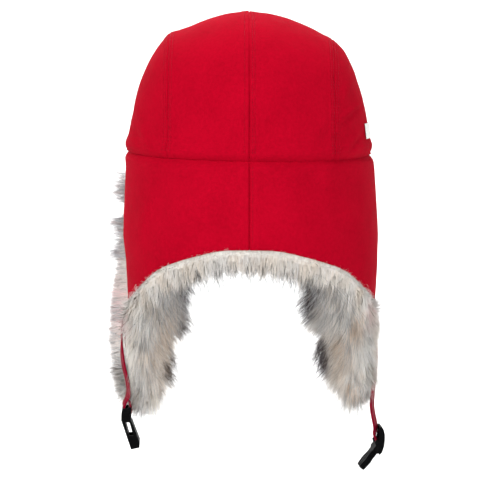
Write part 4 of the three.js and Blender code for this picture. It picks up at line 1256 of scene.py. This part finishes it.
def edge_wisps(side, seed):
    """Long loose hairs: out of the front edge in tufts, below the flap and the nape, and over the hem."""
    r = np.random.default_rng(seed)
    sg = 1.0 if side == "left" else -1.0
    R, N, P, W, T = [], [], [], [], []

    def add(root, n, tip, width, tone):
        R.append(root), N.append(n), P.append(tip), W.append(np.full(len(root), width)), T.append(tone)

    def by_way(root, n, way, length, width, tone):
        drop = np.array([0, 0, -1.0]) * (length ** 2 * 0.008 * r.uniform(0.2, 1.6, len(root)))[:, None]
        add(root, n, root + unit(way) * length[:, None] + drop, width, tone)

    # painted shade: the grey-blue mixed into the loose hairs stands in for the shade on thin pale hair
    painted_shade_blue, light, dark = np.array(srgb(152, 158, 166)), TONES["light"], np.array(srgb(62, 56, 58))
    # front edge: locks of hair that narrow to a tip
    u = r.uniform(0.5, 0.995, 60000)
    v = r.uniform(0.30, 0.52, 60000)
    root, n = skin_place(side, u, v)
    front = root[:, 1] < -24
    root, n = root[front], n[front]
    for q in TUFTS:
        locks = int(q["half"] * (4.6 if side == "left" else 0.8)) + 1
        for _ in range(locks):
            off = r.uniform(-1, 1)
            z = q["z"] + off * q["half"]
            near = np.flatnonzero(np.abs(root[:, 2] - z) < 3.2)
            m = min(len(near), 12)
            if m < 4:
                continue
            pick = r.choice(near, m, replace=False)
            reach = min(121.8, 104.5 + q["longer"] * r.uniform(0.7, 1.3) * (1 - 0.35 * abs(off))) \
                if side == "left" else 102.5 + 5.0 * r.random()
            rise = r.normal(1.0, 5.5)
            share = r.beta(2.6, 1.0, m)
            a, b = root[pick], n[pick]
            x_tip = 103 + (reach - 103) * share
            tip = np.stack([sg * np.maximum(x_tip, sg * a[:, 0] + 2), a[:, 1] + r.normal(0, 1.2, m),
                            z + (a[:, 2] - z) * 0.45 + rise * share + r.normal(0, 0.9, m)], 1)
            mix = np.clip(0.60 + 0.25 * r.normal() + 0.15 * r.normal(size=m), 0, 1)[:, None]
            add(a, b, tip, 0.34, painted_shade_blue * mix + light * 0.95 * (1 - mix))
    # the soft strip beside the cloth on the left
    if side == "left":
        m = 5600
        pick = r.choice(np.flatnonzero(root[:, 2] < -54), m)
        a, b = root[pick], n[pick]
        reach = np.interp(-a[:, 2], [q[0] for q in STRIP], [q[1] for q in STRIP])
        x_tip = 100.5 + (reach - 100.5) * r.beta(2.4, 1.2, m)
        tip = np.stack([np.maximum(x_tip, a[:, 0] + 1.5), a[:, 1] + r.normal(0, 2.0, m),
                        a[:, 2] - r.uniform(-2, 6, m)], 1)
        rosy = (0.75 * np.exp(-((a[:, 2] + 138) / 24) ** 2) * r.uniform(0.3, 1.1, m))[:, None]
        add(a, b, tip, 0.33, (light * (1 - rosy) + TONES["pink"] * rosy) * r.uniform(0.78, 1.03, m)[:, None])
    # the hair that lies against the strap on the left, and over it on the right
    m = 2200 if side == "left" else 3400
    u, v = r.uniform(0.34, 0.70, 60000), r.uniform(0.36, 0.66, 60000)
    rc, nc = skin_place(side, u, v)
    edge_x = np.interp(-rc[:, 2], [q[0] for q in COVER[side]], [q[1] for q in COVER[side]])
    ok = np.flatnonzero((sg * rc[:, 0] > edge_x - 13) & (sg * rc[:, 0] < edge_x - 1) & (rc[:, 1] > -16)
                        & (rc[:, 2] < COVER_TOP[side]))
    if len(ok):
        pick = r.choice(ok, m)
        a, b = rc[pick], nc[pick]
        fall = r.uniform(7, 17, m)
        edge_x = np.interp(-(a[:, 2] - fall), [q[0] for q in COVER[side]], [q[1] for q in COVER[side]])
        gap = edge_x - sg * a[:, 0]
        tip = np.stack([sg * (sg * a[:, 0] + gap * r.beta(2.4, 1.2, m)), np.maximum(a[:, 1], 0) + r.uniform(1, 7, m),
                        a[:, 2] - fall], 1)
        tone = tone_at(side, tip, 0.4 * r.normal(size=m), 0 * fall) * r.uniform(0.86, 1.05, m)[:, None]
        add(a, b, tip, 0.33, tone)
    # below the flap
    m = 620
    u, v = r.uniform(0.42, 0.66, m), r.uniform(0.46, 0.62, m)
    root, n = skin_place(side, u, v)
    way = np.stack([r.normal(0, 0.35, m), r.normal(0, 0.2, m), -np.ones(m)], 1) + n * 0.25
    by_way(root, n, way, r.uniform(16, 32, m), 0.32, light * 0.35 + painted_shade_blue * 0.3 + dark * 0.35 + r.normal(size=(m, 1)) * 0.05)
    # inner edge of the flap, dark
    m = 1000
    u, v = r.uniform(0.34, 0.72, m), r.uniform(0.54, 0.74, m)
    root, n = skin_place(side, u, v)
    way = n * 0.6 + np.stack([-sg * r.uniform(0.5, 1.2, m), 0.1 * np.ones(m), -r.uniform(0.4, 1.3, m)], 1)
    na = np.ones(m)
    by_way(root, n, way, r.uniform(14, 26, m), 0.30, tone_at(side, root + unit(way) * 9, 0 * na, 0.8 * na) * 0.9)
    # nape: sparse and long, some nearly across
    m = 500
    u, v = r.uniform(0.0, 0.34, m), r.uniform(0.50, 0.64, m)
    root, n = skin_place(side, u, v)
    way = n * 0.3 + np.stack([r.normal(0, 0.7, m), r.normal(0.1, 0.2, m), -np.ones(m)], 1)
    by_way(root, n, way, r.uniform(16, 48, m), 0.25, light * 0.25 + painted_shade_blue * 0.5 + dark * 0.25 + r.normal(size=(m, 1)) * 0.05)
    # over the hem
    m = 1200
    u = r.uniform(0.0, 0.46, m)
    root, n = skin_place(side, u, np.full(m, 0.315))
    out = unit(root * np.array([1, 1, 0.0]))
    way = out * r.uniform(0.35, 1.0, m)[:, None] + np.stack([r.normal(0, 0.4, m), 0 * u, r.normal(0.10, 0.4, m)], 1)
    by_way(root + out * 2.2, out, way, r.uniform(2.5, 6.5, m), 0.22, light * 0.93 + r.normal(size=(m, 1)) * 0.02)
    # a few long ones where the flap leaves the nape band
    m = 260
    u = r.uniform(0.36, 0.50, m)
    root, n = skin_place(side, u, np.full(m, 0.33))
    out = unit(root * np.array([1, 1, 0.0]))
    way = out * 0.5 + np.stack([sg * r.uniform(0.2, 0.9, m), 0 * u, r.normal(0.35, 0.3, m)], 1)
    by_way(root + out * 2.2, out, way, r.uniform(5, 11, m), 0.24, light * 0.93 + r.normal(size=(m, 1)) * 0.02)
    wisps("fur_wisps_" + side, np.concatenate(R), np.concatenate(N), np.concatenate(P),
          np.concatenate(W), np.concatenate(T), seed)


edge_wisps("left", 21)
edge_wisps("right", 22)

# ---------------------------------------------------------------- straps
STRAP_LEFT = [(102.7, -138), (103.9, -148), (104.4, -158), (104.1, -168), (102.8, -178),
              (100.6, -187), (99.2, -195), (99.6, -202)]
STRAP_RIGHT = [(-104.8, -138), (-104.8, -148), (-104.7, -158), (-104.2, -172), (-103.2, -186),
               (-102.0, -200), (-101.6, -212)]
SOCKET = dict(x=101.2, y=STRAP_Y, z=-212.5, lean=12.8, yaw=1)
LADDER = dict(x=-107.6, y=STRAP_Y, z=-245, lean=-6, yaw=4)


def clip_axes(place):
    a, b = math.radians(place["lean"]), math.radians(place["yaw"])
    ry = np.array([[math.cos(a), 0, math.sin(a)], [0, 1, 0], [-math.sin(a), 0, math.cos(a)]])
    rz = np.array([[math.cos(b), -math.sin(b), 0], [math.sin(b), math.cos(b), 0], [0, 0, 1]])
    return ry @ rz, np.array([place["x"], place["y"], place["z"]])


def turn_round(radius, x, z, start, end, steps):
    turns = [math.radians(start + (end - start) * i / steps) for i in range(steps + 1)]
    return [(x + radius * math.cos(a), z + radius * math.sin(a), 0) for a in turns]


def strap_object(name, node_name, line, place, loop):
    m, o = clip_axes(place)
    stops, across = [], []
    for (x, z) in line:
        yaw = math.radians(STRAP_YAW * float(ease((-z - 150) / 25)))
        sg = 1 if x > 0 else -1
        stops.append([x, STRAP_Y, z])
        across.append([-sg * math.sin(yaw), math.cos(yaw), 0])
    free = np.array(across[-1])
    bar = m @ np.array([0, 1, 0])
    for (x, z, turned) in loop:
        stops.append(m @ np.array([x, 0, z]) + o)
        across.append(bar + (free - bar) * turned)
    stops, across = np.array(stops, float), np.array(across, float)
    seg = np.linalg.norm(np.diff(stops, axis=0), axis=1)
    dist = np.concatenate([[0], np.cumsum(seg)])
    n = int(dist[-1] / 0.55)
    at = np.linspace(0, dist[-1], n)
    # place on the table of stops for each distance
    t = np.interp(at, dist, np.arange(len(stops))) / (len(stops) - 1)
    p = np.stack([along(stops[:, c], t) for c in range(3)], -1)
    w = unit(np.stack([np.interp(t * (len(stops) - 1), np.arange(len(stops)), across[:, c]) for c in range(3)], -1))
    run = unit(np.gradient(p, axis=0))
    face = unit(np.cross(run, w))
    # rounded section with a slightly raised selvedge and ribs across
    half_w, half_t = WEBBING_WIDTH / 2, WEBBING / 2
    ring = []
    cols = 17
    for sgn in (1, -1):
        for i in range(cols):
            f = (i / (cols - 1) * 2 - 1) * sgn
            lift = 0.10 * math.exp(-((abs(f) - 0.86) / 0.07) ** 2)
            round_off = math.sqrt(max(0.0, 1 - max(0, (abs(f) - 0.93) / 0.07) ** 2))
            ring.append((f * half_w, sgn * (half_t * (0.30 + 0.70 * round_off) + lift * round_off), f))
    ring = np.array(ring)
    k = len(ring)
    rib = 0.075 * np.sin(at * 2 * math.pi / 2.3)
    pts = np.empty((n, k, 3))
    for j in range(k):
        sgn = np.sign(ring[j, 1])
        inner = 1 - ease((abs(ring[j, 2]) - 0.80) / 0.1)
        pts[:, j] = p + w * ring[j, 0] + face * (ring[j, 1] + sgn * rib * inner)[:, None]
    idx = np.arange(n * k).reshape(n, k)
    nxt = np.roll(idx, -1, axis=1)
    f = np.stack([idx[:-1].ravel(), idx[1:].ravel(), nxt[1:].ravel(), nxt[:-1].ravel()], 1)
    V = pts.reshape(-1, 3)
    uv = np.stack([np.tile(ring[:, 0], n), np.repeat(at, k)], 1)
    f2 = []
    for row, flip in ((0, False), (n - 1, True)):
        for i in range(cols - 1):
            q = [idx[row, i], idx[row, i + 1], idx[row, k - 2 - i], idx[row, k - 1 - i]]
            f2.append(q[::-1] if flip else q)
    F = np.concatenate([f, np.array(f2)])
    v = V[F]
    vol = (np.einsum("ij,ij->i", v[:, 0], np.cross(v[:, 1], v[:, 2])).sum()
           + np.einsum("ij,ij->i", v[:, 0], np.cross(v[:, 2], v[:, 3])).sum())
    if vol < 0:
        F = F[:, ::-1]
    ob = mesh_object(name, V, F, uv=uv)
    ob.data.materials.append(mat_web)
    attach(ob, "root")
    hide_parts(node_name)
    return p, w, face


# stops of each loop in its clip's own X and Z; the third value is the share of the strap's own turn
socket_loop = [(0.9, 3.4, 0.5)] + turn_round(2.3, -1.4, -2.2, 0, -180, 6) + [(-3.8, 2.6, 0.5), (-4, 6.2, 0.5)]
ladder_loop = [(5.3, 18, 1), (5.1, 13.4, 1), (4.7, 9.6, 0.6)] + turn_round(2.2, 1.1, 6.3, 0, -225, 8)
sl = strap_object("webbing_left", "strap_left", STRAP_LEFT, SOCKET, socket_loop)
sr = strap_object("webbing_right", "strap_right", STRAP_RIGHT, LADDER, ladder_loop)

# box of stitches that holds each strap to its flap
runs = []
for (p, w, face), sg in ((sl, 1), (sr, -1)):
    out = face * np.sign(face[:, :1] * sg)
    top = (p[:, 2] < -140.2) & (p[:, 2] > -153.5)
    P, W, O = p[top], w[top], out[top]
    for side_mm in (-5.6, 5.6):
        runs.append((P + W * side_mm + O * (WEBBING / 2 + 0.1), O))
    for row in (0, -1):
        line = np.linspace(-5.6, 5.6, 12)[:, None]
        runs.append((P[row] + W[row] * line + O[row] * (WEBBING / 2 + 0.1), np.repeat(O[row][None], 12, 0)))
strap_stitches = stitch_mesh("strap_stitching", runs, pitch=2.2, length=1.7, radius=0.22)


# ---------------------------------------------------------------- clips
def rounded_copy(name, node_name, width):
    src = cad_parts[node_name]
    src = src if hasattr(src, "data") else bpy.data.objects[node_name]
    ob = bpy.data.objects.new(name, src.data.copy())
    ob.matrix_world = src.matrix_world.copy()
    bpy.context.scene.collection.objects.link(ob)
    import bmesh
    bm = bmesh.new()
    bm.from_mesh(ob.data)
    bmesh.ops.remove_doubles(bm, verts=bm.verts, dist=1e-5)
    bmesh.ops.dissolve_limit(bm, angle_limit=math.radians(1.5), verts=bm.verts, edges=bm.edges)
    bm.to_mesh(ob.data)
    bm.free()
    bevel = ob.modifiers.new("edge", "BEVEL")
    bevel.width = width * MM
    bevel.segments = 2
    bevel.limit_method = "ANGLE"
    bevel.angle_limit = math.radians(32)
    bevel.harden_normals = False
    for p in ob.data.polygons:
        p.use_smooth = True
    wn = ob.modifiers.new("wn", "WEIGHTED_NORMAL")
    wn.keep_sharp = False
    ob.data.materials.clear()
    ob.data.materials.append(mat_plastic)
    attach(ob, "root")
    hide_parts(node_name)
    return ob


rounded_copy("clip_half_left", "clip_socket", 0.3)
rounded_copy("clip_half_right", "clip_tongue", 0.28)

# ---------------------------------------------------------------- side tag
TAG = dict(front=5.0, back=40.0, low=14.5, high=26.5, thick=0.6, off=0.5)


def crown_side(y, z):
    """Where the right side of the crown is at a depth and height, as x and theta free."""
    S, X, Z = OUTLINES[3]
    lo, hi = np.zeros(y.shape), np.full(y.shape, S[-1])
    for _ in range(40):
        s = (lo + hi) / 2
        x, height = np.interp(s, S, X), np.maximum(np.interp(s, S, Z), 1e-6)
        depth = RIM_B * np.sqrt(np.maximum(1e-12, 1 - (x / RIM_A) ** 2))
        out = (np.abs(y) / depth) ** BACK_ROUND + (z / height) ** BACK_ROUND > 1
        hi = np.where(out, s, hi)
        lo = np.where(out, lo, s)
    return np.interp((lo + hi) / 2, S, X)


ys = np.linspace(TAG["front"], TAG["back"], 60)
zs = np.linspace(TAG["low"], TAG["high"], 34)
Y, Zg = np.meshgrid(ys, zs, indexing="ij")


def tag_at(y, z):
    return np.stack([crown_side(y, z), y, z], -1)


Pt = tag_at(Y, Zg)
Nt = unit(np.cross(tag_at(Y + 0.5, Zg) - tag_at(Y - 0.5, Zg), tag_at(Y, Zg + 0.5) - tag_at(Y, Zg - 0.5)))
Nt = np.where(Nt[..., :1] > 0, -Nt, Nt)
push = np.where(Zg < PUFF_HEIGHT, PUFF * np.sin(math.pi * Zg / PUFF_HEIGHT), 0)
base = tilt(Pt + Nt * push[..., None], 1 - Zg / 115)
push = push + np.maximum(crease_height(base, 3) + broad_waves(base, 3, base[..., 2]), 0) - 0.5 * rim_roll(base[..., 2])
eu = np.minimum(Y - TAG["front"], TAG["back"] - Y)
ev = np.minimum(Zg - TAG["low"], TAG["high"] - Zg)
soft = 0.22 * np.exp(-(np.minimum(eu, ev) / 0.35) ** 2)
wav = 0.12 * np.sin(Y * 0.7) * np.sin(Zg * 0.5)
outer = Pt + Nt * (push + TAG["off"] + TAG["thick"] - soft + wav)[..., None]
inner = Pt + Nt * (push + TAG["off"] + 0.02 + soft + wav)[..., None]
for g in (outer, inner):
    g[..., 2] += RIM_GAP
outer, inner = tilt(outer, 1 - Zg / 115), tilt(inner, 1 - Zg / 115)
tag_ob = wall_object("side_tag_tape", outer, inner, np.stack([Y, Zg], -1))
tag_ob.data.materials.append(mat_tag)
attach(tag_ob, "root")
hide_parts("side_tag")

# ---------------------------------------------------------------- floor, light, camera
FLOOR_Z = -0.305


def sweep_floor():
    """Pale floor that turns up softly far behind."""
    prof = [(-3.2, FLOOR_Z)]
    prof = [(4.0, FLOOR_Z), (1.0, FLOOR_Z), (0.0, FLOOR_Z), (-1.2, FLOOR_Z)]
    for i in range(1, 17):
        a = math.pi / 2 * i / 16
        prof.append((-1.2 - 1.4 * math.sin(a), FLOOR_Z + 1.4 * (1 - math.cos(a))))
    prof.append((-2.6, 4.5))
    xs = [-4.5, -1.5, 0, 1.5, 4.5]
    pts = np.array([[x, y, z] for (y, z) in prof for x in xs]) / MM
    n, m = len(prof), len(xs)
    idx = np.arange(n * m).reshape(n, m)
    f = np.stack([idx[:-1, :-1].ravel(), idx[:-1, 1:].ravel(), idx[1:, 1:].ravel(), idx[1:, :-1].ravel()], 1)
    ob = mesh_object("floor", pts, f)
    m_, nt, bsdf = new_material("floor_paper")
    bsdf.inputs["Base Color"].default_value = (0.93, 0.93, 0.93, 1)
    bsdf.inputs["Roughness"].default_value = 0.9
    bsdf.inputs["Specular IOR Level"].default_value = 0.1
    ob.data.materials.append(m_)
    return ob


sweep_floor()

scene = bpy.context.scene
world = bpy.data.worlds.new("studio")
world.use_nodes = True
world.node_tree.nodes["Background"].inputs[0].default_value = (1, 1, 1, 1)
world.node_tree.nodes["Background"].inputs[1].default_value = 0.40
scene.world = world


def area(name, place, target, size, power):
    data = bpy.data.lights.new(name, "AREA")
    data.shape = "RECTANGLE"
    data.size, data.size_y = size
    data.energy = power
    ob = bpy.data.objects.new(name, data)
    ob.location = place
    ob.rotation_euler = (Vector(target) - Vector(place)).to_track_quat("-Z", "Y").to_euler()
    scene.collection.objects.link(ob)
    return ob


area("key", (0.62, 1.5, 1.62), (0, 0, -0.05), (1.2, 1.0), 44)
area("fill", (-1.2, 1.4, 0.35), (0, 0, -0.06), (1.1, 1.2), 10)
area("left", (1.4, 1.2, 0.30), (0, 0, -0.06), (1.1, 1.2), 5)
area("front", (0.2, -1.3, 1.2), (0, 0, -0.05), (1.4, 1.0), 12)
area("paper", (0, -0.9, 2.4), (0, -2.2, 0.2), (3.0, 1.4), 75)

AIM = Vector((0.0073, 0.0, -0.072))
ELEVATION, DISTANCE, WIDTH = math.radians(5.5), 2.4, 0.39168
cam_data = bpy.data.cameras.new("camera")
cam_data.sensor_width = 36
cam_data.lens = 18 / (WIDTH / 2 / DISTANCE)
cam_data.clip_end = 50
cam = bpy.data.objects.new("camera", cam_data)
cam.location = AIM + Vector((0, math.cos(ELEVATION), math.sin(ELEVATION))) * DISTANCE
cam.rotation_euler = (AIM - cam.location).to_track_quat("-Z", "Y").to_euler()
scene.collection.objects.link(cam)
scene.camera = cam
scene.view_settings.view_transform = "Standard"
scene.view_settings.look = "None"
